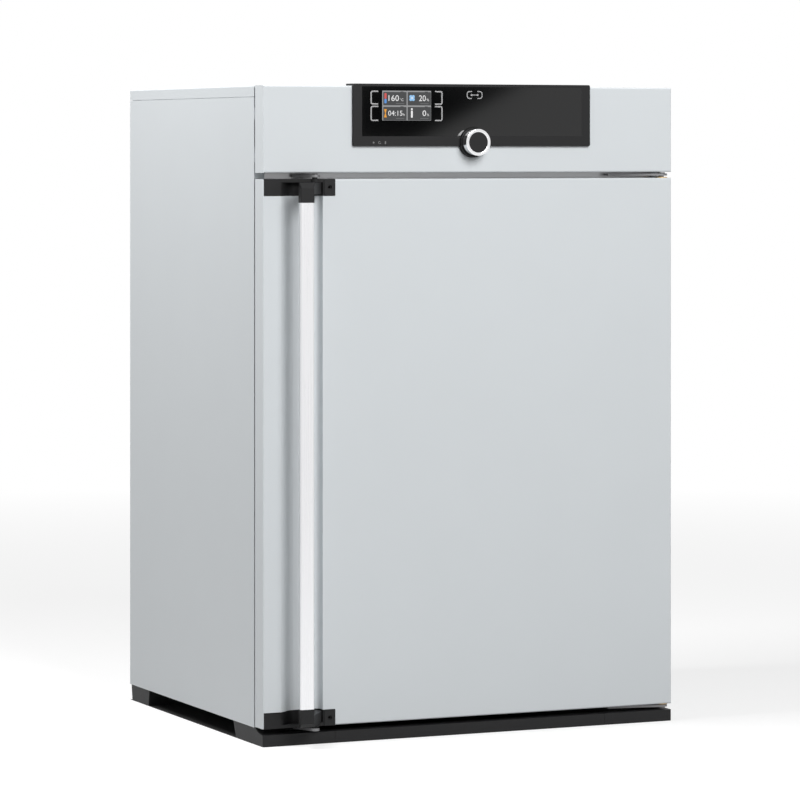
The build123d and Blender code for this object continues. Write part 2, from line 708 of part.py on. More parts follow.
with BuildPart() as hinge_plate_bottom:
    with BuildSketch(Plane.XY.offset(z_plate_bottom)):
        hinge_outline(y_case - 1)
    extrude(amount=HINGE_PLATE_THICK)
    block(
        x_plate, x_side - FOOT_WIDTH - PANEL_GAP, y_case - 4, y_case + 4 * FLANGE,
        z_plate_bottom, z_inner,
    )
    post_z(
        x_hinge, y_hinge, z_plate_bottom - 1, z_plate_bottom + 9, HINGE_PIN_R + RUNNING_FIT, mode=Mode.SUBTRACT
    )
save(hinge_plate_bottom, "hinge_plate_bottom")

pin_length = 16
with BuildPart() as hinge_pins:
    post_z(x_hinge, y_hinge, DOOR_TOP - pin_length, z_plate_top + HINGE_PLATE_THICK, HINGE_PIN_R)
    post_z(
        x_hinge, y_hinge, z_plate_top + HINGE_PLATE_THICK, z_plate_top + HINGE_PLATE_THICK + 2, HINGE_PIN_R + 2
    )
    post_z(x_hinge, y_hinge, z_plate_bottom, DOOR_BOTTOM + pin_length, HINGE_PIN_R)
    post_z(x_hinge, y_hinge, z_plate_bottom - 2, z_plate_bottom, HINGE_PIN_R + 2)
save(hinge_pins, "hinge_pins")

# Catches that the latch fingers close against
x_catch = HANDLE_AXIS_X - 12
z_finger_top = DOOR_TOP + FINGER_LIFT
z_finger_bottom = DOOR_BOTTOM - FINGER_LIFT - FINGER_THICK
with BuildPart() as latch_catches:
    block(x_catch, x_catch + 24, y_frame - 12, y_frame, z_finger_top - 1, z_finger_top + FINGER_THICK + 1)
    block(x_catch, x_catch + 24, y_frame - 12, y_frame, z_finger_bottom, FOOT_HEIGHT)
    block(x_catch, x_catch + 24, y_frame - 3, y_frame, z_finger_bottom, DOOR_BOTTOM + FLANGE)
save(latch_catches, "latch_catches")

# Door: outer skin with the grip recess pressed into it
z_bracket_top = DOOR_TOP - BRACKET_HEIGHT
z_bracket_bottom = DOOR_BOTTOM + BRACKET_HEIGHT - 1.5


def recess_outline(wall):
    """The grip recess in plan, grown all round by wall; it opens through the front plane."""
    with BuildLine() as outline:
        left = (RECESS_LEFT - wall, y_front)
        foot = (RECESS_LEFT + RECESS_RUN, y_front + RECESS_DEPTH + wall)
        Spline(left, foot, tangents=[(1, 0.35), (1, 0.08)])
        Line(foot, (RECESS_RIGHT - 6, foot[1]))
        RadiusArc((RECESS_RIGHT - 6, foot[1]), (RECESS_RIGHT + wall, foot[1] - 6 - wall), 6 + wall)
        Line((RECESS_RIGHT + wall, foot[1] - 6 - wall), (RECESS_RIGHT + wall, y_front - 1))
        Line((RECESS_RIGHT + wall, y_front - 1), (left[0], y_front - 1))
        Line((left[0], y_front - 1), left)
    make_face(outline.edges())


with BuildPart() as door_skin:
    with BuildSketch(front_plane(y_front)):
        with Locations((0, (DOOR_BOTTOM + DOOR_TOP) / 2)):
            Rectangle(WIDTH, DOOR_TOP - DOOR_BOTTOM)
    extrude(amount=-FRONT_THICK)
    fillet(door_skin.faces().sort_by(Axis.Y)[0].edges(), FRONT_EDGE_R)
    offset(amount=-SHEET, openings=door_skin.faces().sort_by(Axis.Y)[-1])
    with BuildSketch(Plane.XY.offset(z_bracket_bottom)):
        recess_outline(SHEET)
        with Locations((0, y_front - FLANGE / 2)):
            Rectangle(WIDTH, FLANGE, mode=Mode.SUBTRACT)
    extrude(amount=z_bracket_top - z_bracket_bottom)
    with BuildSketch(Plane.XY.offset(z_bracket_bottom)):
        recess_outline(0)
    extrude(amount=z_bracket_top - z_bracket_bottom, mode=Mode.SUBTRACT)
    for z_low, z_high in (
        (z_bracket_top - PANEL_GAP, DOOR_TOP + 1), (DOOR_BOTTOM - 1, z_bracket_bottom + PANEL_GAP)
    ):
        block(
            -x_side + SHEET, BRACKET_RIGHT + PANEL_GAP, y_front - 1, y_front + BRACKET_DEPTH + PANEL_GAP,
            z_low, z_high, mode=Mode.SUBTRACT,
        )
    for z_low, z_high in ((DOOR_TOP - SHEET - 1, DOOR_TOP + 1), (DOOR_BOTTOM - 1, DOOR_BOTTOM + SHEET + 1)):
        post_z(x_hinge, y_hinge, z_low, z_high, HINGE_BUSH_R + RUNNING_FIT, mode=Mode.SUBTRACT)
save(door_skin, "door_skin")

# Door inner panel with a raised plug that enters the chamber opening
with BuildPart() as door_inner_panel:
    block(
        -x_inner, x_inner, y_front_back - SHEET, y_front_back,
        DOOR_BOTTOM + SHEET + PANEL_GAP, DOOR_TOP - SHEET - PANEL_GAP,
    )
    with BuildSketch(front_plane(y_front_back - SHEET)):
        with Locations((0, z_chamber)):
            RectangleRounded(
                CHAMBER_WIDTH - 2 * PLUG_GAP, CHAMBER_HEIGHT - 2 * PLUG_GAP, PLUG_CORNER_R
            )
    extrude(amount=-(PLUG_DEPTH + SHEET))
    fillet(door_inner_panel.faces().sort_by(Axis.Y)[-1].edges(), 5)
    with BuildSketch(front_plane(y_front_back - SHEET)):
        with Locations((0, z_chamber)):
            RectangleRounded(
                CHAMBER_WIDTH - 2 * PLUG_GAP - 2 * SHEET, CHAMBER_HEIGHT - 2 * PLUG_GAP - 2 * SHEET,
                PLUG_CORNER_R - SHEET,
            )
    extrude(amount=-PLUG_DEPTH, mode=Mode.SUBTRACT)
save(door_inner_panel, "door_inner_panel")

with BuildPart() as door_gasket:
    with BuildSketch(front_plane(y_front_back)):
        with Locations((0, z_chamber)):
            RectangleRounded(
                CHAMBER_WIDTH + 2 * (GASKET_OFFSET + GASKET_WIDTH),
                CHAMBER_HEIGHT + 2 * (GASKET_OFFSET + GASKET_WIDTH), 30,
            )
            RectangleRounded(
                CHAMBER_WIDTH + 2 * GASKET_OFFSET, CHAMBER_HEIGHT + 2 * GASKET_OFFSET, 16, mode=Mode.SUBTRACT
            )
    extrude(amount=-(y_frame - y_front_back - SEAT_GAP))
    chamfer(door_gasket.faces().sort_by(Axis.Y)[-1].edges(), 2.5)
save(door_gasket, "door_gasket")

with BuildPart() as door_insulation:
    block(
        BRACKET_RIGHT + 4, x_hinge - HINGE_BUSH_R - 4, y_front + SHEET + SEAT_GAP, y_front_back - SHEET - SEAT_GAP,
        DOOR_BOTTOM + SHEET + 4, DOOR_TOP - SHEET - 4,
    )
    block(
        -x_side + SHEET + 2, BRACKET_RIGHT + 4, y_front + BRACKET_DEPTH + 2, y_front_back - SHEET - SEAT_GAP,
        DOOR_BOTTOM + SHEET + 4, DOOR_TOP - SHEET - 4,
    )
save(door_insulation, "door_insulation")

with BuildPart() as door_hinge_bushes:
    for z_low, z_high, z_rim in (
        (DOOR_TOP - pin_length - 6, DOOR_TOP, DOOR_TOP),
        (DOOR_BOTTOM, DOOR_BOTTOM + pin_length + 6, DOOR_BOTTOM - 1.5),
    ):
        post_z(x_hinge, y_hinge, z_low, z_high, HINGE_BUSH_R)
        post_z(x_hinge, y_hinge, z_rim, z_rim + 1.5, HINGE_BUSH_R + 2)
    post_z(
        x_hinge, y_hinge, DOOR_TOP - pin_length - 1, DOOR_TOP + 2, HINGE_PIN_R + RUNNING_FIT, mode=Mode.SUBTRACT
    )
    post_z(
        x_hinge, y_hinge, DOOR_BOTTOM - 2, DOOR_BOTTOM + pin_length + 1,
        HINGE_PIN_R + RUNNING_FIT, mode=Mode.SUBTRACT,
    )
save(door_hinge_bushes, "door_hinge_bushes")


# Handle brackets: moulded blocks that carry on the recess and hold the lever's pivot
def handle_bracket(z_low, z_high, z_web):
    """A bracket between two heights, with a web at z_web that the lever's pin passes through."""
    with BuildPart() as bracket:
        block(-x_side + SHEET + SEAT_GAP, BRACKET_RIGHT, y_front, y_front + BRACKET_DEPTH, z_low, z_high)
        block(
            RECESS_RIGHT + 2, BRACKET_RIGHT, y_front - BRACKET_PAD_PROUD, y_front + BRACKET_DEPTH, z_low, z_high
        )
        fillet(bracket.edges().filter_by(Axis.Z).group_by(Axis.Y)[0], BRACKET_EDGE_R)
        z_cut = z_low if z_web > z_low else z_low + BRACKET_WEB
        with BuildSketch(Plane.XY.offset(z_cut)):
            recess_outline(0)
        extrude(amount=z_high - z_low - BRACKET_WEB, mode=Mode.SUBTRACT)
        post_z(HANDLE_AXIS_X, y_handle, z_web, z_web + BRACKET_WEB, BRACKET_BOSS_R)
        post_z(
            HANDLE_AXIS_X, y_handle, z_web - 1, z_web + BRACKET_WEB + 1,
            LEVER_PIN_R + RUNNING_FIT, mode=Mode.SUBTRACT,
        )
        with Locations(front_plane(y_front - BRACKET_PAD_PROUD)):
            with Locations(((RECESS_RIGHT + 2 + BRACKET_RIGHT) / 2, (z_low + z_high) / 2)):
                CounterBoreHole(2.2, 4.2, 3, 12)
    return bracket


handle_bracket_top = handle_bracket(z_bracket_top, DOOR_TOP, DOOR_TOP - BRACKET_WEB)
save(handle_bracket_top, "handle_bracket_top")
handle_bracket_bottom = handle_bracket(DOOR_BOTTOM, z_bracket_bottom, DOOR_BOTTOM)
save(handle_bracket_bottom, "handle_bracket_bottom")

# Handle bar
with BuildPart() as handle_bar:
    with BuildSketch(Plane.XY.offset(BAR_BOTTOM)):
        with Locations((BAR_X, y_bar)):
            RectangleRounded(BAR_WIDTH, BAR_THICK, 4)
    extrude(amount=BAR_TOP - BAR_BOTTOM)
save(handle_bar, "handle_bar")


# Levers: a cap on the bar's end, an arm back to the hub, and the pivot pin
def handle_lever(z_low, direction):
    """A lever whose inner face starts at z_low; direction is 1 for the top one, -1 for the bottom."""
    z_arm = z_low if direction > 0 else z_low - LEVER_HEIGHT
    with BuildPart() as lever:
        with BuildSketch(Plane.XY.offset(z_arm)):
            with Locations((BAR_X, y_bar)):
                Rectangle(BAR_WIDTH - 3, BAR_THICK - 2)
            with Locations((HANDLE_AXIS_X, y_handle)):
                Circle(HUB_R)
            make_hull()
        extrude(amount=LEVER_HEIGHT)
        z_cap = BAR_TOP if direction > 0 else BAR_BOTTOM - CAP_HEIGHT
        with BuildSketch(Plane.XY.offset(z_cap)):
            with Locations((BAR_X, y_bar)):
                RectangleRounded(BAR_WIDTH, BAR_THICK, 3)
        extrude(amount=CAP_HEIGHT)
        z_tip = z_cap + CAP_HEIGHT if direction > 0 else z_cap
        y_bevel = y_bar - BAR_THICK / 2
        with BuildSketch(side_plane(BAR_X - BAR_WIDTH)):
            polygon([
                (y_bevel - 1, z_tip - direction * 2),
                (y_bevel + 11, z_tip + direction * 10),
                (y_bevel - 1, z_tip + direction * 12),
            ])
        extrude(amount=2 * BAR_WIDTH, mode=Mode.SUBTRACT)
        z_pin = z_arm + LEVER_HEIGHT if direction > 0 else z_arm
        pin_reach = BRACKET_WEB + FINGER_LIFT + FINGER_THICK + 2
        post_z(
            HANDLE_AXIS_X, y_handle, min(z_pin, z_pin + direction * pin_reach),
            max(z_pin, z_pin + direction * pin_reach), LEVER_PIN_R,
        )
    return lever


z_lever_top = DOOR_TOP - BRACKET_WEB - SEAT_GAP - LEVER_HEIGHT
z_lever_bottom = DOOR_BOTTOM + BRACKET_WEB + SEAT_GAP + LEVER_HEIGHT
handle_lever_top = handle_lever(z_lever_top, 1)
save(handle_lever_top, "handle_lever_top")
handle_lever_bottom = handle_lever(z_lever_bottom, -1)
save(handle_lever_bottom, "handle_lever_bottom")


# Latch fingers on the levers' pins, in the gaps above and below the door
def latch_finger(z_low):
    """A flat finger from the pivot pin back towards the frame."""
    x_nose = HANDLE_AXIS_X + FINGER_LENGTH * cos(radians(FINGER_ANGLE))
    y_nose = y_handle + FINGER_LENGTH * sin(radians(FINGER_ANGLE))
    with BuildPart() as finger:
        with BuildSketch(Plane.XY.offset(z_low)):
            with Locations((HANDLE_AXIS_X, y_handle)):
                Circle(LEVER_PIN_R + 4)
            with Locations((x_nose, y_nose)):
                Circle(FINGER_WIDTH / 2)
            make_hull()
        extrude(amount=FINGER_THICK)
        post_z(
            HANDLE_AXIS_X, y_handle, z_low - 1, z_low + FINGER_THICK + 1,
            LEVER_PIN_R + RUNNING_FIT, mode=Mode.SUBTRACT,
        )
    return finger


latch_finger_top = latch_finger(z_finger_top)
save(latch_finger_top, "latch_finger_top")
latch_finger_bottom = latch_finger(z_finger_bottom)
save(latch_finger_bottom, "latch_finger_bottom")

# Control panel housing with its cap over the fascia's top edge and the boss round the knob
with BuildPart() as control_housing:
    with BuildSketch(front_plane(y_front)):
        with Locations((0, (PANEL_BOTTOM + PANEL_TOP) / 2)):
            RectangleRounded(PANEL_WIDTH, PANEL_TOP - PANEL_BOTTOM, 3)
        with Locations((0, KNOB_Z)):
            Circle(BOSS_R)
    extrude(amount=PANEL_PROUD)
    fillet(control_housing.faces().sort_by(Axis.Y)[0].edges(), 1)
    block(
        -body_half, body_half, y_front, y_front + PANEL_BODY_DEPTH, body_bottom, HEIGHT + SEAT_GAP
    )
    block(
        -PANEL_WIDTH / 2, PANEL_WIDTH / 2, y_front, y_front + PANEL_CAP_DEPTH, HEIGHT + SEAT_GAP, PANEL_TOP
    )
    with BuildSketch(front_plane(y_front - PANEL_PROUD)):
        with Locations((0, (GLASS_BOTTOM + GLASS_TOP) / 2)):
            Rectangle(GLASS_WIDTH + SEAT_GAP, GLASS_TOP - GLASS_BOTTOM + SEAT_GAP)
    extrude(amount=-GLASS_THICK, mode=Mode.SUBTRACT)
    with BuildSketch(front_plane(y_front - PANEL_PROUD + GLASS_THICK)):
        with Locations((DISPLAY_X, DISPLAY_Z)):
            Rectangle(DISPLAY_WIDTH + SEAT_GAP, DISPLAY_HEIGHT + SEAT_GAP)
    extrude(amount=-DISPLAY_THICK, mode=Mode.SUBTRACT)
    post_y(0, KNOB_Z, y_front - BOSS_PROUD, y_front - PANEL_PROUD, BOSS_R - 1)
    post_y(
        0, KNOB_Z, y_front - BOSS_PROUD - 1, y_front + PANEL_BODY_DEPTH + 1,
        ENCODER_SHAFT_R + RUNNING_FIT, mode=Mode.SUBTRACT,
    )
save(control_housing, "control_housing")

with BuildPart() as control_glass:
    with BuildSketch(front_plane(y_front - PANEL_PROUD)):
        with Locations((0, (GLASS_BOTTOM + GLASS_TOP) / 2)):
            Rectangle(GLASS_WIDTH, GLASS_TOP - GLASS_BOTTOM)
        with Locations((0, KNOB_Z)):
            Circle(BOSS_R + SEAT_GAP, mode=Mode.SUBTRACT)
    extrude(amount=-GLASS_THICK)
save(control_glass, "control_glass")

with BuildPart() as display_module:
    with BuildSketch(front_plane(y_front - PANEL_PROUD + GLASS_THICK)):
        with Locations((DISPLAY_X, DISPLAY_Z)):
            Rectangle(DISPLAY_WIDTH, DISPLAY_HEIGHT)
    extrude(amount=-DISPLAY_THICK + SEAT_GAP)
save(display_module, "display_module")

# Turn and push knob
y_knob_back = y_front - BOSS_PROUD - KNOB_PUSH - 1
y_knob_face = y_front - KNOB_FACE
with BuildPart() as encoder_shaft:
    post_y(0, KNOB_Z, y_knob_face + 6, y_front + PANEL_BODY_DEPTH + 6, ENCODER_SHAFT_R)
save(encoder_shaft, "encoder_shaft")

with BuildPart() as knob_ring:
    with BuildSketch(front_plane(y_knob_back)):
        with Locations((0, KNOB_Z)):
            Circle(KNOB_R)
            Circle(KNOB_R - KNOB_RING_WIDTH, mode=Mode.SUBTRACT)
    extrude(amount=y_knob_back - y_knob_face)
    fillet(knob_ring.faces().sort_by(Axis.Y)[0].edges(), 1.5)
save(knob_ring, "knob_ring")

with BuildPart() as knob_core:
    post_y(0, KNOB_Z, y_knob_face + 1.5, y_knob_back, KNOB_R - KNOB_RING_WIDTH - 0.05)
    fillet(knob_core.faces().sort_by(Axis.Y)[0].edges(), 1)
    post_y(
        0, KNOB_Z, y_knob_face + 6 - SEAT_GAP, y_knob_back + 1, ENCODER_SHAFT_R + RUNNING_FIT, mode=Mode.SUBTRACT
    )
save(knob_core, "knob_core")

# Electronics: controller board and power unit on the compartment floor
z_board = z_compartment + SHEET + 8
with BuildPart() as controller_board:
    block(-240, 0, -160, 20, z_board, z_board + 1.6)
    with BuildSketch(Plane.XY.offset(z_compartment + SHEET)):
        with Locations((-120, -70)):
            with GridLocations(220, 160, 2, 2):
                Circle(3)
    extrude(amount=8)
    block(-200, -170, -120, -90, z_board + 1.6, z_board + 4)
    block(-130, -90, -100, -60, z_board + 1.6, z_board + 3.5)
    block(-60, -20, -140, -110, z_board + 1.6, z_board + 16)
    block(-220, -140, -20, 10, z_board + 1.6, z_board + 12)
    with BuildSketch(Plane.XY.offset(z_board + 1.6)):
        with Locations((-60, -30)):
            with GridLocations(24, 24, 2, 2):
                Circle(7)
    extrude(amount=22)
save(controller_board, "controller_board")

with BuildPart() as power_unit:
    block(80, 240, -140, 40, z_compartment + SHEET, z_compartment + SHEET + 3)
    block(90, 160, -120, -40, z_compartment + SHEET + 3, z_compartment + SHEET + 62)
    block(180, 230, -120, -60, z_compartment + SHEET + 3, z_compartment + SHEET + 40)
    for fin in range(7):
        block(180 + fin * 8, 183 + fin * 8, -120, -60, z_compartment + SHEET + 40, z_compartment + SHEET + 62)
    block(90, 230, -20, 30, z_compartment + SHEET + 3, z_compartment + SHEET + 28)
save(power_unit, "power_unit")

# Cooling fan for the electronics, on the rear panel
y_cooling = y_rear_panel - COOLING_FAN_DEPTH
rotor_r = COOLING_FAN_SIZE / 2 - 5
with BuildPart() as cooling_fan_frame:
    with BuildSketch(front_plane(y_cooling)):
        with Locations((COOLING_FAN_X, CONNECTION_Z)):
            RectangleRounded(COOLING_FAN_SIZE, COOLING_FAN_SIZE, 4)
            Circle(rotor_r + 2, mode=Mode.SUBTRACT)
            with GridLocations(COOLING_FAN_SIZE - 10, COOLING_FAN_SIZE - 10, 2, 2):
                Circle(2.2, mode=Mode.SUBTRACT)
    extrude(amount=-COOLING_FAN_DEPTH)
    with BuildSketch(front_plane(y_cooling)):
        with Locations((COOLING_FAN_X, CONNECTION_Z)):
            Circle(16)
            Rectangle(2 * rotor_r + 6, 4)
            Rectangle(4, 2 * rotor_r + 6)
    extrude(amount=-3)
    post_y(COOLING_FAN_X, CONNECTION_Z, y_cooling + 3, y_cooling + 18, 2)
save(cooling_fan_frame, "cooling_fan_frame")

with BuildPart() as cooling_fan_rotor:
    post_y(COOLING_FAN_X, CONNECTION_Z, y_cooling + 3 + SEAT_GAP, y_cooling + 20, 14)
    with BuildSketch(front_plane(y_cooling + 6)):
        with Locations((COOLING_FAN_X, CONNECTION_Z)):
            with PolarLocations(0, 7):
                with Locations((rotor_r / 2 + 6, 0)):
                    Rectangle(rotor_r - 12, 3)
    extrude(amount=-13)
    post_y(
        COOLING_FAN_X, CONNECTION_Z, y_cooling + 3, y_cooling + 18 + SEAT_GAP, 2 + RUNNING_FIT, mode=Mode.SUBTRACT
    )
save(cooling_fan_rotor, "cooling_fan_rotor")

# Mains inlet, fuse caps, network socket and the mains switch
with BuildPart() as mains_inlet:
    with BuildSketch(front_plane(y_rear_flange)):
        with Locations((INLET_X, CONNECTION_Z)):
            RectangleRounded(50, 28, 4)
    extrude(amount=-3)
    block(
        INLET_X - 14, INLET_X + 14, y_rear_panel - 22, y_rear_flange + 3, CONNECTION_Z - 10, CONNECTION_Z + 10
    )
    block(
        INLET_X - 12, INLET_X + 12, y_rear_panel - 12, y_rear_flange + 4,
        CONNECTION_Z - 8, CONNECTION_Z + 8, mode=Mode.SUBTRACT,
    )
    for x_pin, z_pin in ((-7, -2), (0, 3), (7, -2)):
        block(
            INLET_X + x_pin - 1, INLET_X + x_pin + 1, y_rear_panel - 12, y_rear_flange,
            CONNECTION_Z + z_pin - 2, CONNECTION_Z + z_pin + 2,
        )
save(mains_inlet, "mains_inlet")

with BuildPart() as fuse_caps:
    for z_fuse in (CONNECTION_Z - 12, CONNECTION_Z + 12):
        post_y(FUSE_X, z_fuse, y_rear_panel - 20, y_rear_flange, 6)
        post_y(FUSE_X, z_fuse, y_rear_flange, y_rear_flange + 5, 8)
        block(FUSE_X - 5, FUSE_X + 5, y_rear_flange + 3.5, y_rear_flange + 6, z_fuse - 0.6, z_fuse + 0.6,
              mode=Mode.SUBTRACT)
save(fuse_caps, "fuse_caps")

with BuildPart() as network_socket:
    block(
        ETHERNET_X - 8, ETHERNET_X + 8, y_rear_panel - 14, y_rear_flange + 2, CONNECTION_Z - 7, CONNECTION_Z + 7
    )
    block(
        ETHERNET_X - 6, ETHERNET_X + 6, y_rear_panel - 8, y_rear_flange + 3,
        CONNECTION_Z - 4.5, CONNECTION_Z + 4.5, mode=Mode.SUBTRACT,
    )
    block(
        ETHERNET_X - 10, ETHERNET_X + 10, y_rear_panel - 2 - SEAT_GAP, y_rear_panel - SEAT_GAP,
        CONNECTION_Z - 9, CONNECTION_Z - 7,
    )
save(network_socket, "network_socket")

rocker_axis_y = y_rear_panel - 4
with BuildPart() as switch_frame:
    with BuildSketch(front_plane(y_rear_flange)):
        with Locations((SWITCH_X, CONNECTION_Z)):
            RectangleRounded(28, 36, 3)
    extrude(amount=-2)
    block(
        SWITCH_X - 11, SWITCH_X + 11, y_rear_panel - 20, y_rear_flange, CONNECTION_Z - 15, CONNECTION_Z + 15
    )
    block(
        SWITCH_X - 8.5, SWITCH_X + 8.5, y_rear_panel - 12, y_rear_flange + 3,
        CONNECTION_Z - 13, CONNECTION_Z + 13, mode=Mode.SUBTRACT,
    )
    with BuildSketch(side_plane(SWITCH_X - 8.5)):
        with Locations((rocker_axis_y, CONNECTION_Z)):
            Circle(1.5)
    extrude(amount=17)
save(switch_frame, "switch_frame")

with BuildPart() as switch_rocker:
    with BuildSketch(side_plane(SWITCH_X - 8)):
        polygon([
            (rocker_axis_y - 4, CONNECTION_Z - 8),
            (rocker_axis_y - 4, CONNECTION_Z + 8),
            (y_rear_flange + 1, CONNECTION_Z + 11),
            (y_rear_flange + 3, CONNECTION_Z),
            (y_rear_flange + 5.5, CONNECTION_Z - 11),
        ])
    extrude(amount=16)
    with BuildSketch(side_plane(SWITCH_X - 9)):
        with Locations((rocker_axis_y, CONNECTION_Z)):
            Circle(1.5 + RUNNING_FIT)
    extrude(amount=18, mode=Mode.SUBTRACT)
save(switch_rocker, "switch_rocker")

# Screws that hold the rear panel and the lid
with BuildPart() as casing_screws:
    y_head = y_rear_flange + SHEET
    with BuildSketch(front_plane(y_head)):
        for x_screw in (-x_side + FLANGE / 2 + SHEET, x_side - FLANGE / 2 - SHEET):
            with Locations((x_screw, (z_inner + z_case) / 2)):
                with GridLocations(1, (z_case - z_inner - 80) / 4, 1, 5):
                    Circle(4)
    extrude(amount=-2.4)
    chamfer(casing_screws.faces().group_by(Axis.Y)[-1].edges(), 0.8)
save(casing_screws, "casing_screws")
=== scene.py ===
"""Dresses the laboratory drying oven: finishes, lit screen, panel marks, casing screws, studio."""
import math

import bmesh
import bpy
from bpy.props import (
    FloatProperty, FloatVectorProperty, IntProperty, PointerProperty, StringProperty,
)
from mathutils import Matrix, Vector


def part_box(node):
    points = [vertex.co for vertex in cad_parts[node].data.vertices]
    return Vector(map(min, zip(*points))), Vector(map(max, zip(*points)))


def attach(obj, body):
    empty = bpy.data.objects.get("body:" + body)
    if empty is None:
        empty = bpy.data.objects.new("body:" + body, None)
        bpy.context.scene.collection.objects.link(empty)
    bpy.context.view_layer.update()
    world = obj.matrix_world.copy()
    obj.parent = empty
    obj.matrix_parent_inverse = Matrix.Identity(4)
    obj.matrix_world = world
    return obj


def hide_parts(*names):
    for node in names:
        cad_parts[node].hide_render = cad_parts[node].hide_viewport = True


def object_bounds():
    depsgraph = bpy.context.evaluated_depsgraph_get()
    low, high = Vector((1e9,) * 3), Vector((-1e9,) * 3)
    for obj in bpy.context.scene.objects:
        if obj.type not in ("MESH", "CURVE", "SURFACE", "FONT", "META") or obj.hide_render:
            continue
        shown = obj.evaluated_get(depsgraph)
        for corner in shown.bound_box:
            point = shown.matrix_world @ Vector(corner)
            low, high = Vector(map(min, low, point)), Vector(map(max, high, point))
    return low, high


bl_info = {
    "name": "Drying oven dresser",
    "version": (1, 0, 0),
    "blender": (4, 5, 0),
    "location": "3D View > Sidebar > Oven",
    "description": "Finishes and fine pieces for a laboratory drying oven",
    "category": "Object",
}

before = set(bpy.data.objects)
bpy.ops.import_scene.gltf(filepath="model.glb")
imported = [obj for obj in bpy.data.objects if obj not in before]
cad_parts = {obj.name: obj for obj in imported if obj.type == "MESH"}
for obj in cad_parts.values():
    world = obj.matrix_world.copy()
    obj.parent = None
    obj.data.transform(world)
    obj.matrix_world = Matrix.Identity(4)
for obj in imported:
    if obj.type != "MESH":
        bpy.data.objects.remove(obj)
CAD_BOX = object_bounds()
MM = 0.001

# Text before it is fitted: half its depth, steps along a curve, and how near two corners are one
TEXT_HALF = 0.5
TEXT_STEPS = 3
TEXT_MERGE = 0.0005

# Which CAD nodes carry which finish
NODE_FINISHES = {
    "painted": (
        "side_panel_left", "side_panel_right", "lid", "front_fascia", "door_skin",
    ),
    "galvanised": (
        "rear_panel", "bottom_panel", "compartment_floor", "power_unit", "damper_motor",
    ),
    # The front frame and the inner door panel take a steel darkened by painted shade
    "shaded_satin_frame": ("front_frame", "door_inner_panel"),
    "satin_chamber": ("chamber_liner", "fan_baffle", "exhaust_duct", "damper_flap"),
    "satin_bar": ("handle_bar",),
    "bright_steel": (
        "shelf_lower", "shelf_upper", "fan_impeller", "fan_shaft", "temperature_probes",
        "heating_elements", "casing_screws",
    ),
    "dark_steel": (
        "hinge_plate_top", "hinge_plate_bottom", "hinge_pins", "latch_catches",
        "latch_finger_top", "latch_finger_bottom",
    ),
    "chrome": ("knob_ring", "encoder_shaft"),
    "moulded_black": (
        "handle_bracket_top", "handle_bracket_bottom", "handle_lever_top", "handle_lever_bottom",
        "control_housing", "knob_core", "mains_inlet", "fuse_caps", "switch_frame",
        "switch_rocker", "cooling_fan_frame", "cooling_fan_rotor", "network_socket",
    ),
    "foot_plastic": (
        "front_foot_left", "front_foot_right", "plinth_strip", "rear_foot_left", "rear_foot_right",
    ),
    "smoked_glass": ("control_glass",),
    "screen_back": ("display_module",),
    "gasket_rubber": ("door_gasket",),
    "wool": ("insulation", "door_insulation"),
    "board_green": ("controller_board",),
    "brass": ("door_hinge_bushes",),
    "motor_enamel": ("fan_motor",),
}


class Shade:
    """A node socket that takes part in sums, so that shader maths reads as arithmetic."""

    def __init__(self, maker, socket):
        self.maker = maker
        self.socket = socket

    def _join(self, operation, first, second):
        return self.maker.node("Math", {"operation": operation}, {0: first, 1: second})

    def __add__(self, other):
        return self._join("ADD", self, other)

    __radd__ = __add__

    def __sub__(self, other):
        return self._join("SUBTRACT", self, other)

    def __rsub__(self, other):
        return self._join("SUBTRACT", other, self)

    def __mul__(self, other):
        return self._join("MULTIPLY", self, other)

    __rmul__ = __mul__

    def __gt__(self, other):
        return self._join("GREATER_THAN", self, other)

    def __lt__(self, other):
        return self._join("LESS_THAN", self, other)


class NodeMaker:
    """Builds a shader tree node by node, whether of a material or of the world."""

    def __init__(self, tree):
        self.tree = tree
        self.tree.nodes.clear()

    def node(self, kind, settings=None, inputs=None, output=0):
        """Add a node: its settings first, then the values or links of its sockets."""
        made = self.tree.nodes.new("ShaderNode" + kind)
        for key, value in (settings or {}).items():
            if key == "stops":
                ramp = made.color_ramp
                while len(ramp.elements) < len(value):
                    ramp.elements.new(1.0)
                for stop, (place, colour) in zip(ramp.elements, value):
                    stop.position = place
                    stop.color = (*colour, 1.0)
            else:
                setattr(made, key, value)
        for key, value in (inputs or {}).items():
            socket = made.inputs[key]
            if isinstance(value, Shade):
                self.tree.links.new(value.socket, socket)
            else:
                socket.default_value = value
        return Shade(self, made.outputs[output]) if len(made.outputs) else None

    def place(self, scale=(1.0, 1.0, 1.0)):
        """The piece's own coordinates in metres, stretched by scale."""
        here = self.node("TexCoord", output="Object")
        return self.node("Mapping", {}, {"Vector": here, "Scale": scale})

    def axis(self, name):
        """One of the piece's own coordinates in metres."""
        return self.node("SeparateXYZ", {}, {0: self.place()}, output=name)

    def in_view(self):
        """1 for what the camera, a reflection or a clear piece shows, 0 for light on its way."""
        seen = self.node("LightPath", output="Is Camera Ray")
        glossy = self.node("LightPath", output="Is Glossy Ray")
        through = self.node("LightPath", output="Is Transmission Ray")
        return seen + glossy + through


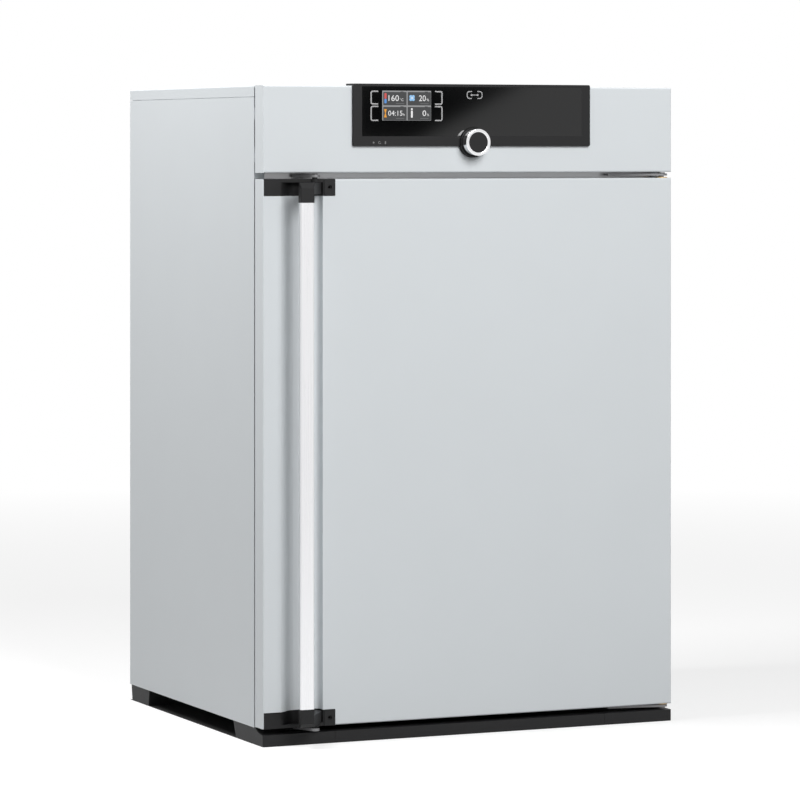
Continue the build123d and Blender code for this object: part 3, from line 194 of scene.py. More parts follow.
class Finish(NodeMaker):
    """One material that ends in a single surface shader."""

    def __init__(self, name):
        self.material = bpy.data.materials.new(name)
        self.material.use_nodes = True
        super().__init__(self.material.node_tree)

    def noise(self, scale, detail=3.0, stretch=(1.0, 1.0, 1.0), roughness=0.5):
        return self.node("TexNoise", {}, {
            "Vector": self.place(stretch), "Scale": scale, "Detail": detail, "Roughness": roughness,
        })

    def tint(self, factor, first, second):
        """A colour that runs from first to second with the factor."""
        return self.node(
            "Mix", {"data_type": "RGBA"},
            {0: factor, 6: (*first, 1.0), 7: (*second, 1.0)}, output=2,
        )

    def bump(self, height, distance, strength=1.0):
        return self.node("Bump", {}, {"Height": height, "Distance": distance, "Strength": strength})

    def surface(self, **sockets):
        """End in a Principled shader; underscores in the names stand for spaces."""
        inputs = {}
        for key, value in sockets.items():
            colour = key in ("Base_Color", "Emission_Color") and not isinstance(value, Shade)
            inputs[key.replace("_", " ")] = (*value, 1.0) if colour else value
        shader = self.node("BsdfPrincipled", {}, inputs)
        self.node("OutputMaterial", {}, {"Surface": shader})
        return self.material


def linear(red, green, blue):
    """A colour given as 0 to 255 screen values, as the linear values that shaders take."""
    def one(value):
        value /= 255
        return value / 12.92 if value <= 0.04045 else ((value + 0.055) / 1.055) ** 2.4
    return one(red), one(green), one(blue)


def darker(colour, share):
    """A share of the colour's light."""
    return tuple(channel * share for channel in colour)


def powder_coat(name, colour):
    """Fine-grained powder coat with a faint orange peel."""
    finish = Finish(name)
    cloud = finish.noise(scale=9.0, detail=2.0)
    peel = finish.noise(scale=850.0, detail=2.0)
    return finish.surface(
        Base_Color=finish.tint(cloud, darker(colour, 0.975), colour),
        Roughness=0.36 + peel * 0.16,
        Normal=finish.bump(peel, distance=0.00005, strength=0.35),
    )


def brushed_steel(name, colour, roughness, stretch):
    """Stainless steel brushed one way: long streaks in tone, gloss and height."""
    finish = Finish(name)
    streak = finish.noise(scale=1.0, detail=4.0, stretch=stretch, roughness=0.6)
    cloud = finish.noise(scale=5.0, detail=2.0)
    return finish.surface(
        Base_Color=finish.tint(streak, darker(colour, 0.9), colour),
        Metallic=1.0,
        Roughness=roughness + (streak - 0.5) * 0.16 + cloud * 0.05,
        Normal=finish.bump(streak, distance=0.00001, strength=0.4),
    )


def polished_steel(name, colour, roughness):
    """Bright drawn or plated metal with faint wipe marks."""
    finish = Finish(name)
    wipe = finish.noise(scale=60.0, detail=3.0, stretch=(1.0, 1.0, 3.0))
    return finish.surface(
        Base_Color=colour, Metallic=1.0, Roughness=roughness + wipe * 0.06,
    )


def zinc_sheet(name, colour):
    """Galvanised sheet with large, faint crystals."""
    finish = Finish(name)
    crystal = finish.node(
        "TexVoronoi", {"feature": "F1"}, {"Vector": finish.place(), "Scale": 55.0}, output="Color",
    )
    tone = finish.node("RGBToBW", {}, {0: crystal})
    return finish.surface(
        Base_Color=finish.tint(tone, darker(colour, 0.82), colour),
        Metallic=0.9,
        Roughness=0.34 + tone * 0.2,
    )


def moulded_plastic(name, colour, roughness, grain=1600.0):
    """Injection-moulded plastic with a spark-eroded grain."""
    finish = Finish(name)
    grit = finish.noise(scale=grain, detail=2.0)
    cloud = finish.noise(scale=14.0, detail=2.0)
    return finish.surface(
        Base_Color=finish.tint(cloud, darker(colour, 0.85), colour),
        Roughness=roughness + grit * 0.12,
        Specular_IOR_Level=0.25,
        Normal=finish.bump(grit, distance=0.00004, strength=0.5),
    )


def smoked_glass(name, colour):
    """Black-backed front glass: a clean gloss with the slightest waviness."""
    finish = Finish(name)
    wave = finish.noise(scale=3.0, detail=1.0)
    return finish.surface(
        Base_Color=colour,
        Roughness=0.05 + wave * 0.03,
        Normal=finish.bump(wave, distance=0.0001, strength=0.1),
    )


def lit(name, colour, level=1.0):
    """A lit part of the screen, seen through the front glass."""
    finish = Finish(name)
    dots = finish.noise(scale=2500.0, detail=0.0)
    return finish.surface(
        Base_Color=darker(colour, 0.05), Roughness=0.12,
        Emission_Color=finish.tint(dots, darker(colour, 0.93), colour),
        Emission_Strength=level,
    )


def print_ink(name, colour):
    """Screen-printed ink on glass or plastic."""
    finish = Finish(name)
    fleck = finish.noise(scale=3000.0, detail=1.0)
    return finish.surface(
        Base_Color=finish.tint(fleck, darker(colour, 0.9), colour), Roughness=0.3 + fleck * 0.1,
    )


def rubber(name, colour):
    """Moulded seal with a faint bloom."""
    finish = Finish(name)
    bloom = finish.noise(scale=30.0, detail=3.0)
    grain = finish.noise(scale=900.0, detail=1.0)
    return finish.surface(
        Base_Color=finish.tint(bloom, darker(colour, 0.8), colour),
        Roughness=0.5 + bloom * 0.15,
        Normal=finish.bump(grain, distance=0.00003, strength=0.4),
    )


def mineral_wool(name, colour):
    """Felted fibres, darker between them."""
    finish = Finish(name)
    fibre = finish.noise(
        scale=160.0, detail=6.0, stretch=(1.0, 1.0, 4.0), roughness=0.7
    )
    return finish.surface(
        Base_Color=finish.tint(fibre, darker(colour, 0.55), colour),
        Roughness=0.95,
        Normal=finish.bump(fibre, distance=0.002, strength=0.8),
    )


def circuit_board(name, colour):
    """Green solder mask with paler copper tracks under it."""
    finish = Finish(name)
    track = finish.node(
        "TexBrick", {"offset": 0.5},
        {
            "Vector": finish.place(), "Scale": 60.0, "Mortar Size": 0.02,
            "Color1": (*colour, 1.0), "Color2": (*darker(colour, 0.8), 1.0),
            "Mortar": (*darker(colour, 2.2), 1.0),
        },
    )
    return finish.surface(Base_Color=track, Roughness=0.35)


def make_finishes(look):
    """Every finish of the oven by name."""
    paint = tuple(look.paint)
    steel = tuple(look.steel)
    black = tuple(look.plastic)
    return {
        "painted": powder_coat("powder_coat", paint),
        "galvanised": zinc_sheet("zinc_sheet", (0.60, 0.61, 0.62)),
        # The frame's steel is darkened to 0.62 of the steel colour: painted shade for the shadow that the
        # fascia casts into the gap above the door
        "shaded_satin_frame": brushed_steel("shaded_satin_frame", darker(steel, 0.62), 0.34, (3.0, 700.0, 700.0)),
        "satin_chamber": brushed_steel("satin_chamber", steel, 0.30, (700.0, 3.0, 700.0)),
        "satin_bar": brushed_steel("satin_bar", steel, 0.26, (900.0, 900.0, 4.0)),
        "bright_steel": polished_steel("bright_steel", (0.76, 0.76, 0.77), 0.18),
        # Dark steel: the own tone of the hinges and pins; on the latch fingers and catches, which show in
        # the shaded gap above the door, the low tone is also painted shade
        "dark_steel": polished_steel("dark_steel", (0.20, 0.20, 0.205), 0.42),
        "chrome": polished_steel("chrome", (0.88, 0.88, 0.89), 0.06),
        "moulded_black": moulded_plastic("moulded_black", black, 0.42),
        "foot_plastic": moulded_plastic("foot_plastic", tuple(look.foot), 0.5, 700.0),
        "smoked_glass": smoked_glass("smoked_glass", (0.0022, 0.0024, 0.0026)),
        "screen_back": lit("screen_back", (0.02, 0.02, 0.022)),
        "gasket_rubber": rubber("gasket_rubber", (0.10, 0.10, 0.105)),
        "wool": mineral_wool("wool", (0.55, 0.47, 0.30)),
        "board_green": circuit_board("board_green", (0.01, 0.09, 0.04)),
        "brass": polished_steel("brass", (0.72, 0.50, 0.22), 0.25),
        "motor_enamel": moulded_plastic("motor_enamel", (0.035, 0.04, 0.05), 0.35, 900.0),
    }


class Mould:
    """A mesh put together in millimetres in the row frame, with one finish or several."""

    def __init__(self, name, finishes):
        self.name = name
        self.finishes = finishes
        self.mesh = bmesh.new()

    def index(self, finish):
        return [material.name for material in self.finishes].index(finish)

    def plate(self, outline, y_front, thickness, finish):
        """A flat plate with its outline given in X and Z, seen from the front."""
        front = [self.mesh.verts.new((x, y_front, z)) for x, z in outline]
        back = [self.mesh.verts.new((x, y_front + thickness, z)) for x, z in outline]
        faces = [self.mesh.faces.new(front), self.mesh.faces.new(back[::-1])]
        for place in range(len(outline)):
            after = (place + 1) % len(outline)
            faces.append(
                self.mesh.faces.new((front[after], front[place], back[place], back[after]))
            )
        for face in faces:
            face.material_index = self.index(finish)
        bmesh.ops.recalc_face_normals(self.mesh, faces=faces)

    def lettering(self, text, box, y_front, thickness, finish):
        """Text made solid and fitted into the box (x0, x1, z0, z1)."""
        curve = bpy.data.curves.new("lettering", "FONT")
        curve.body = text
        curve.extrude = TEXT_HALF
        curve.resolution_u = TEXT_STEPS
        holder = bpy.data.objects.new("lettering", curve)
        bpy.context.scene.collection.objects.link(holder)
        bpy.context.view_layer.update()
        shape = bpy.data.meshes.new_from_object(
            holder.evaluated_get(bpy.context.evaluated_depsgraph_get())
        )
        bpy.data.objects.remove(holder)
        bpy.data.curves.remove(curve)
        xs = [vertex.co.x for vertex in shape.vertices]
        ys = [vertex.co.y for vertex in shape.vertices]
        x0, x1, z0, z1 = box
        wide = (x1 - x0) / (max(xs) - min(xs))
        tall = (z1 - z0) / (max(ys) - min(ys))
        for vertex in shape.vertices:
            x, y, z = vertex.co
            vertex.co = (
                x0 + (x - min(xs)) * wide,
                y_front + (TEXT_HALF - z) * thickness,
                z0 + (y - min(ys)) * tall,
            )
        before = len(self.mesh.faces)
        self.mesh.from_mesh(shape)
        bpy.data.meshes.remove(shape)
        self.mesh.faces.ensure_lookup_table()
        made = [self.mesh.faces[number] for number in range(before, len(self.mesh.faces))]
        for face in made:
            face.material_index = self.index(finish)
        corners = list(dict.fromkeys(vertex for face in made for vertex in face.verts))
        bmesh.ops.remove_doubles(self.mesh, verts=corners, dist=TEXT_MERGE)

    def done(self, body):
        """Close the mould: a piece in metres that rides on its body."""
        bmesh.ops.scale(self.mesh, vec=(MM, MM, MM), verts=self.mesh.verts)
        data = bpy.data.meshes.new(self.name)
        self.mesh.to_mesh(data)
        self.mesh.free()
        for material in self.finishes:
            data.materials.append(material)
        return piece_of(self.name, data, body)


def piece_of(name, data, body, replaced=()):
    """Put a finished mesh into the scene as a piece of the oven."""
    piece = bpy.data.objects.new(name, data)
    bpy.context.scene.collection.objects.link(piece)
    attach(piece, body)
    if replaced:
        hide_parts(*replaced)
    return piece


def rounded(x0, x1, z0, z1, radius, steps=4):
    """A rectangle's outline with round corners."""
    outline = []
    for x, z, start in (
        (x1 - radius, z1 - radius, 0), (x0 + radius, z1 - radius, 90),
        (x0 + radius, z0 + radius, 180), (x1 - radius, z0 + radius, 270),
    ):
        for step in range(steps + 1):
            angle = math.radians(start + 90 * step / steps)
            outline.append((x + radius * math.cos(angle), z + radius * math.sin(angle)))
    return outline


def ribbon(path, width):
    """The outline of a line of that width along a path."""
    left, right = [], []
    last = len(path) - 1
    for number, point in enumerate(path):
        before = Vector(path[max(number - 1, 0)])
        after = Vector(path[min(number + 1, last)])
        along = (after - before).normalized()
        across = Vector((-along.y, along.x)) * width / 2
        left.append(tuple(Vector(point) + across))
        right.append(tuple(Vector(point) - across))
    return left + right[::-1]


def arc(centre, radius, start, end, steps=5):
    """Points along an arc between two angles in degrees."""
    return [
        (
            centre[0] + radius * math.cos(math.radians(start + (end - start) * step / steps)),
            centre[1] + radius * math.sin(math.radians(start + (end - start) * step / steps)),
        )
        for step in range(steps + 1)
    ]


def disc(centre, radius, steps=12):
    """A round outline."""
    return arc(centre, radius, 0, 360 - 360 / steps, steps - 1)


# Where things are on the control panel, in millimetres
Y_GLASS = -320.0
SCREEN_LEFT = -181.9
SCREEN_BOTTOM = 1120.5
TILE_WIDTH = 48.5
TILE_HEIGHT = 27.0

# How far the layers of the print and of the screen stand in front of the glass, and how thick they are
PRINT_LIFT = 0.06
PRINT_THICK = 0.05
GROUND_LIFT = 0.10
SIGN_LIFT = 0.14
SIGN_THICK = 0.04
LINE_LIFT = 0.12
LINE_THICK = 0.02
HUB_THICK = 0.03

# Touch keys: half frames that open towards the screen, given by their open and closed ends
KEY_STROKE = 2.4
KEY_CORNER = 3.0
KEY_COLUMNS = ((-189.8, -203.8), (-77.0, -63.0))
KEY_ROWS = ((1120.6, 1145.9), (1150.4, 1173.2))

# The sign of two linked halves above the knob
LINK_X = 2.6
LINK_Z = 1167.4
LINK_REACH = 10.5
LINK_CORNER = 4.5
LINK_HALF_HEIGHT = 6.3
LINK_OPEN = 5.5
LINK_STROKE = 1.7
LINK_DOT_R = 1.9
LINK_DOT_REACH = 6.0
LINK_BAR_REACH = 5.0
LINK_BAR_STROKE = 1.3
LINK_BAR_THICK = 0.03

# Small signs on the bezel
BEZEL_Z = 1080.4
BEZEL_DOT_X = -199.0
BEZEL_DOT_R = 1.7
BEZEL_RING_X = -187.0
BEZEL_RING_R = 2.2
BEZEL_RING_STROKE = 0.9
BEZEL_BAR_X = -175.5
BEZEL_BAR_HALF_WIDTH = 1.1
BEZEL_BAR_HALF_HEIGHT = 2.6
BEZEL_BAR_CORNER = 0.8

WHITE = (1.0, 1.0, 1.0, 1.0)

# Studio greys: the paper, its own glow, the light that it throws back, the painted shadow under the oven
# and the card
PAPER_TONE = 0.55
PAPER_GLOW = 0.56
PAPER_BOUNCE = 0.30
PAINTED_SHADOW_TONE = 0.05
FLAG_TONE = 0.01

# Studio floor, in metres: its half size, where it fades to white, and where the painted shadow under the
# oven starts
FLOOR_REACH = 14.0
FADE_START = 1.2
FADE_END = 5.0
PAINTED_SHADOW_FRONT = -0.284

# A dark card that only reflections see, in metres: its box, and the soft slanting edge it ends at
FLAG_Y = -2.5
FLAG_X = (0.70, 1.36)
FLAG_Z = (1.08, 1.24)
FLAG_EDGE = (0.9084, 1.1018)
FLAG_SLANT = math.radians(26.8)
FLAG_SOFT = 0.014

# Lamps: place, point aimed at and width, in metres
SIDE_LAMP = ((-1.6, 0.1, 3.0), (-0.41, 0.05, 0.72), 1.2)
FRONT_LAMP = ((0.1, -3.6, 2.8), (0.1, -0.3, 0.66), 1.8)

# Camera: place in metres, turn to the right in degrees, shift of its level view, sensor and reach
CAMERA_PLACE = (-3.10742, -6.93373, 1.07151)
CAMERA_TURN = 24.116
CAMERA_SHIFT = -0.3156
CAMERA_SENSOR = 36.0
CAMERA_REACH = 100.0

# Casing screws: rows on each side, and the share of a head's width left at its face
SCREW_ROWS = 5
SCREW_TAPER = 0.8


class OvenLook(bpy.types.PropertyGroup):
    """Colours of the oven's main finishes."""

    paint: FloatVectorProperty(
        name="Paint", description="Colour of the powder coat", subtype="COLOR",
        default=linear(223, 228, 231), min=0.0, max=1.0,
    )
    steel: FloatVectorProperty(
        name="Steel", description="Colour of the satin stainless steel", subtype="COLOR",
        default=(0.80, 0.80, 0.815), min=0.0, max=1.0,
    )
    plastic: FloatVectorProperty(
        name="Plastic", description="Colour of the moulded black parts", subtype="COLOR",
        default=linear(24, 24, 25), min=0.0, max=1.0,
    )
    foot: FloatVectorProperty(
        name="Feet", description="Colour of the feet and the plinth strip", subtype="COLOR",
        default=linear(30, 30, 31), min=0.0, max=1.0,
    )


class OvenScreen(bpy.types.PropertyGroup):
    """What the lit screen shows, and how brightly."""

    temperature: StringProperty(
        name="Temperature", description="Digits of the temperature tile", default="160",
    )
    fan: StringProperty(
        name="Fan speed", description="Digits of the fan tile", default="20",
    )
    time: StringProperty(
        name="Time", description="Digits of the timer tile", default="04:15",
    )
    flap: StringProperty(
        name="Air flap", description="Digits of the air flap tile", default="0",
    )
    level: FloatProperty(
        name="Brightness", description="Strength of the lit screen", default=1.0, min=0.0, max=5.0,
        subtype="FACTOR",
    )


class OvenScrews(bpy.types.PropertyGroup):
    """Size of the casing screws."""

    radius: FloatProperty(
        name="Head radius", description="Radius of a screw head", default=0.004, min=0.001,
        unit="LENGTH",
    )
    height: FloatProperty(
        name="Head height", description="Height of a screw head", default=0.0024, min=0.0005,
        unit="LENGTH",
    )
    segments: IntProperty(
        name="Segments", description="Facets round a screw head", default=24, min=12, max=64,
    )


class OvenStudio(bpy.types.PropertyGroup):
    """Camera and lamps."""

    lens: FloatProperty(
        name="Lens", description="Focal length of the camera", default=180.0, min=20.0,
        unit="CAMERA",
    )
    side_power: FloatProperty(
        name="Side lamp", description="Power of the lamp above the left side", default=62.0,
        min=0.0, unit="POWER",
    )
    front_power: FloatProperty(
        name="Front lamp", description="Power of the lamp above the front", default=106.0,
        min=0.0, unit="POWER",
    )
    ambient: FloatProperty(
        name="Ambient", description="Strength of the even light from all round", default=0.28,
        min=0.0, max=2.0, subtype="FACTOR",
    )


class OVEN_OT_finishes(bpy.types.Operator):
    """Give every CAD piece its finish."""

    bl_idname = "oven.finishes"
    bl_label = "Finish the pieces"

    def execute(self, context):
        finishes = make_finishes(context.scene.oven_look)
        left = set(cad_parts)
        for finish, nodes in NODE_FINISHES.items():
            for node in nodes:
                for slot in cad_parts[node].material_slots:
                    slot.material = finishes[finish]
                left.discard(node)
        if left:
            raise RuntimeError(f"no finish for {sorted(left)}")
        return {"FINISHED"}


class Tile:
    """A quarter of the screen; places are millimetres from its lower left corner."""

    def __init__(self, mould, left, low):
        self.mould = mould
        self.left = left
        self.low = low

    def patch(self, x0, x1, z0, z1, radius, finish, lift=SIGN_LIFT, thickness=SIGN_THICK):
        """A flat patch with round corners."""
        outline = rounded(self.left + x0, self.left + x1, self.low + z0, self.low + z1, radius)
        self.mould.plate(outline, Y_GLASS - lift, thickness, finish)

    def dot(self, x, z, radius, finish, lift=SIGN_LIFT, thickness=SIGN_THICK):
        """A round patch."""
        outline = disc((self.left + x, self.low + z), radius)
        self.mould.plate(outline, Y_GLASS - lift, thickness, finish)

    def words(self, text, x0, x1, z0, z1):
        """Pale text fitted into a box."""
        box = (self.left + x0, self.left + x1, self.low + z0, self.low + z1)
        self.mould.lettering(text, box, Y_GLASS - SIGN_LIFT, SIGN_THICK, "tile_text")

    def ground(self):
        """The tile's pale edge, its grey face, and the line and tab on it."""
        self.patch(0, TILE_WIDTH, 0, TILE_HEIGHT, 0.8, "tile_edge", PRINT_LIFT, PRINT_THICK)
        self.patch(1.9, TILE_WIDTH - 0.4, 0.4, TILE_HEIGHT - 2.4, 1.2, "tile_ground", GROUND_LIFT)
        self.patch(27, TILE_WIDTH - 5, 3.2, 4.2, 0.3, "tile_line", LINE_LIFT, LINE_THICK)
        self.patch(
            36, 42, TILE_HEIGHT - 3.4, TILE_HEIGHT - 1.4, 0.6, "tile_ground", LINE_LIFT, LINE_THICK
        )


def temperature_tile(tile, text):
    """A red and blue bar beside the degrees."""
    tile.patch(4.2, 8.6, 12.2, 22.5, 1.5, "sign_red")
    tile.patch(4.2, 8.6, 4.0, 12.0, 1.5, "sign_blue")
    tile.words(text, 12.4, 33.0, 8.2, 18.8)
    tile.words("\u00b0C", 35.0, 42.0, 8.2, 13.0)


def fan_tile(tile, text):
    """Four blades round a hub beside the percentage."""
    for turn in range(4):
        angle = math.radians(45 + 90 * turn)
        tile.dot(10.6 + 3.6 * math.cos(angle), 13.8 + 3.6 * math.sin(angle), 2.9, "sign_pale_blue")
    tile.dot(10.6, 13.8, 1.6, "tile_text", SIGN_LIFT + HUB_THICK, HUB_THICK)
    tile.words(text, 24.4, 38.0, 8.2, 18.8)
    tile.words("%", 39.5, 44.5, 8.2, 12.6)


def time_tile(tile, text):
    """An hourglass beside the hours."""
    outline = [(3.5, 20.5), (8.9, 20.5), (6.8, 13.0), (8.9, 5.5), (3.5, 5.5), (5.6, 13.0)]
    outline = [(tile.left + x, tile.low + z) for x, z in outline]
    tile.mould.plate(outline, Y_GLASS - SIGN_LIFT, SIGN_THICK, "sign_orange")
    tile.words(text, 11.8, 40.0, 8.6, 17.8)
    tile.words("h", 41.6, 44.2, 8.6, 13.0)


def flap_tile(tile, text):
    """A flap under its pivot beside the percentage."""
    tile.patch(8.4, 12.0, 5.0, 18.0, 1.4, "tile_text")
    tile.dot(10.2, 20.6, 1.9, "tile_text")
    tile.words(text, 31.4, 38.6, 8.2, 18.4)
    tile.words("%", 40.0, 44.6, 8.2, 12.4)


class OVEN_OT_screen(bpy.types.Operator):
    """Make the lit screen: four tiles with their signs and digits."""

    bl_idname = "oven.screen"
    bl_label = "Make the screen"

    def execute(self, context):
        screen = context.scene.oven_screen
        colours = {
            "tile_ground": linear(74, 75, 76), "tile_edge": linear(150, 151, 152),
            "tile_text": linear(236, 236, 236), "sign_red": linear(205, 92, 88),
            "sign_blue": linear(96, 150, 214), "sign_pale_blue": linear(150, 196, 236),
            "sign_orange": linear(232, 160, 62), "tile_line": linear(112, 113, 114),
        }
        finishes = [lit(name, colour, screen.level) for name, colour in colours.items()]
        mould = Mould("screen_tiles", finishes)
        right = SCREEN_LEFT + TILE_WIDTH
        upper = SCREEN_BOTTOM + TILE_HEIGHT
        temperature = Tile(mould, SCREEN_LEFT, upper)
        fan = Tile(mould, right, upper)
        time = Tile(mould, SCREEN_LEFT, SCREEN_BOTTOM)
        flap = Tile(mould, right, SCREEN_BOTTOM)
        for tile in (temperature, fan, time, flap):
            tile.ground()
        temperature_tile(temperature, screen.temperature)
        fan_tile(fan, screen.fan)
        time_tile(time, screen.time)
        flap_tile(flap, screen.flap)
        mould.done("cabinet")
        return {"FINISHED"}


def half_frame(x_open, x_shut, z0, z1, corner):
    """The path of a frame's half: open at x_open, with round corners at x_shut."""
    turn = 1 if x_shut < x_open else -1
    x_arc = x_shut + turn * corner
    upper = arc((x_arc, z1 - corner), corner, 90, 90 + turn * 90)
    lower = arc((x_arc, z0 + corner), corner, 90 + turn * 90, 90 + turn * 180)
    return [(x_open, z1), *upper, *lower, (x_open, z0)]


class OVEN_OT_marks(bpy.types.Operator):
    """Print the touch keys and the small signs on the panel."""

    bl_idname = "oven.marks"
    bl_label = "Print the panel marks"

    def execute(self, context):
        mould = Mould("panel_marks", [
            print_ink("mark_white", linear(178, 178, 179)),
            print_ink("mark_grey", linear(128, 128, 128)),
        ])

        def printed(outline, finish="mark_white"):
            mould.plate(outline, Y_GLASS - PRINT_LIFT, PRINT_THICK, finish)

        for x_open, x_shut in KEY_COLUMNS:
            for z0, z1 in KEY_ROWS:
                printed(ribbon(half_frame(x_open, x_shut, z0, z1, KEY_CORNER), KEY_STROKE))
        for turn in (1, -1):
            path = half_frame(
                LINK_X - turn * LINK_OPEN, LINK_X - turn * (LINK_REACH + LINK_CORNER),
                LINK_Z - LINK_HALF_HEIGHT, LINK_Z + LINK_HALF_HEIGHT, LINK_CORNER,
            )
            printed(ribbon(path, LINK_STROKE))
            printed(disc((LINK_X - turn * LINK_DOT_REACH, LINK_Z), LINK_DOT_R))
        bar = ribbon(
            [(LINK_X - LINK_BAR_REACH, LINK_Z), (LINK_X + LINK_BAR_REACH, LINK_Z)], LINK_BAR_STROKE
        )
        mould.plate(bar, Y_GLASS - PRINT_LIFT - LINK_BAR_THICK, LINK_BAR_THICK, "mark_white")
        printed(disc((BEZEL_DOT_X, BEZEL_Z), BEZEL_DOT_R), "mark_grey")
        ring = arc((BEZEL_RING_X, BEZEL_Z), BEZEL_RING_R, 60, 360, 16)
        printed(ribbon(ring, BEZEL_RING_STROKE), "mark_grey")
        bar = rounded(
            BEZEL_BAR_X - BEZEL_BAR_HALF_WIDTH, BEZEL_BAR_X + BEZEL_BAR_HALF_WIDTH,
            BEZEL_Z - BEZEL_BAR_HALF_HEIGHT, BEZEL_Z + BEZEL_BAR_HALF_HEIGHT, BEZEL_BAR_CORNER,
        )
        printed(bar, "mark_grey")
        mould.done("cabinet")
        return {"FINISHED"}


def screw_tree(material):
    """Screw heads on a grid, as a node tree with named inputs."""
    tree = bpy.data.node_groups.new("screw_grid", "GeometryNodeTree")
    face = tree.interface
    for name, kind, default in (
        ("Radius", "NodeSocketFloat", 0.004), ("Height", "NodeSocketFloat", 0.0024),
        ("Segments", "NodeSocketInt", 24), ("Width", "NodeSocketFloat", 0.8),
        ("Rise", "NodeSocketFloat", 1.0), ("Rows", "NodeSocketInt", 5),
        ("Middle", "NodeSocketVector", (0.0, 0.0, 0.0)),
    ):
        face.new_socket(name, in_out="INPUT", socket_type=kind).default_value = default
    face.new_socket("Geometry", in_out="OUTPUT", socket_type="NodeSocketGeometry")
    add = tree.nodes.new
    join = tree.links.new
    given = add("NodeGroupInput").outputs
    grid = add("GeometryNodeMeshGrid")
    grid.inputs["Vertices X"].default_value = 2
    join(given["Width"], grid.inputs["Size X"])
    join(given["Rise"], grid.inputs["Size Y"])
    join(given["Rows"], grid.inputs["Vertices Y"])
    upright = add("GeometryNodeTransform")
    upright.inputs["Rotation"].default_value = (math.radians(90), 0.0, 0.0)
    join(grid.outputs["Mesh"], upright.inputs["Geometry"])
    join(given["Middle"], upright.inputs["Translation"])
    head = add("GeometryNodeMeshCone")
    join(given["Segments"], head.inputs["Vertices"])
    join(given["Radius"], head.inputs["Radius Bottom"])
    narrow = add("ShaderNodeMath")
    narrow.operation = "MULTIPLY"
    narrow.inputs[1].default_value = SCREW_TAPER
    join(given["Radius"], narrow.inputs[0])
    join(narrow.outputs[0], head.inputs["Radius Top"])
    join(given["Height"], head.inputs["Depth"])
    spread = add("GeometryNodeInstanceOnPoints")
    spread.inputs["Rotation"].default_value = (math.radians(-90), 0.0, 0.0)
    join(upright.outputs["Geometry"], spread.inputs["Points"])
    join(head.outputs["Mesh"], spread.inputs["Instance"])
    solid = add("GeometryNodeRealizeInstances")
    join(spread.outputs["Instances"], solid.inputs["Geometry"])
    coat = add("GeometryNodeSetMaterial")
    coat.inputs["Material"].default_value = material
    join(solid.outputs["Geometry"], coat.inputs["Geometry"])
    join(coat.outputs["Geometry"], add("NodeGroupOutput").inputs["Geometry"])
    return tree


def grown(name, tree, values):
    """Run a node tree with its named inputs and keep the result as a plain mesh."""
    holder = bpy.data.objects.new(name, bpy.data.meshes.new(name))
    bpy.context.scene.collection.objects.link(holder)
    modifier = holder.modifiers.new("grow", "NODES")
    modifier.node_group = tree
    for item in tree.interface.items_tree:
        if item.in_out == "INPUT" and item.name in values:
            modifier[item.identifier] = values[item.name]
    bpy.context.view_layer.update()
    depsgraph = bpy.context.evaluated_depsgraph_get()
    mesh = bpy.data.meshes.new_from_object(holder.evaluated_get(depsgraph))
    holder.modifiers.remove(modifier)
    bpy.data.objects.remove(holder)
    return mesh


class OVEN_OT_screws(bpy.types.Operator):
    """Make the casing screws at the rear, in place of the plain CAD ones."""

    bl_idname = "oven.screws"
    bl_label = "Make the casing screws"

    def execute(self, context):
        screws = context.scene.oven_screws
        low, high = (Vector(corner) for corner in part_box("casing_screws"))
        material = polished_steel("screw_steel", (0.72, 0.72, 0.73), 0.22)
        mesh = grown("screw_heads", screw_tree(material), {
            "Radius": screws.radius, "Height": screws.height, "Segments": screws.segments,
            "Width": high.x - low.x - 2 * screws.radius, "Rise": high.z - low.z - 2 * screws.radius,
            "Rows": SCREW_ROWS, "Middle": ((low.x + high.x) / 2, low.y, (low.z + high.z) / 2),
        })
        piece_of("screw_heads", mesh, "cabinet", ("casing_screws",))
        return {"FINISHED"}


def grey(tone):
    """An opaque grey as a shader socket takes it."""
    return (tone, tone, tone, 1.0)


def reflection_flag():
    """The dark card that only reflections see, whose soft edge crosses the front glass."""
    card = bpy.data.meshes.new("reflection_flag")
    card.from_pydata(
        [(FLAG_X[0], FLAG_Y, FLAG_Z[0]), (FLAG_X[1], FLAG_Y, FLAG_Z[0]),
         (FLAG_X[1], FLAG_Y, FLAG_Z[1]), (FLAG_X[0], FLAG_Y, FLAG_Z[1])], [], [(0, 1, 2, 3)],
    )
    felt = Finish("flag_felt")
    across = felt.axis("X") - FLAG_EDGE[0]
    up = felt.axis("Z") - FLAG_EDGE[1]
    beyond = up * math.cos(FLAG_SLANT) - across * math.sin(FLAG_SLANT)
    shade = felt.node(
        "MapRange", {}, {"Value": beyond, "From Min": -FLAG_SOFT, "From Max": FLAG_SOFT}
    )
    clear = felt.node("BsdfTransparent")
    black = felt.node("BsdfDiffuse", {}, {"Color": grey(FLAG_TONE)})
    mixed = felt.node("MixShader", {}, {0: shade, 1: clear, 2: black})
    felt.node("OutputMaterial", {}, {"Surface": mixed})
    card.materials.append(felt.material)
    holder = bpy.data.objects.new("reflection_flag", card)
    bpy.context.scene.collection.objects.link(holder)
    holder.visible_camera = False
    holder.visible_diffuse = False
    holder.visible_shadow = False


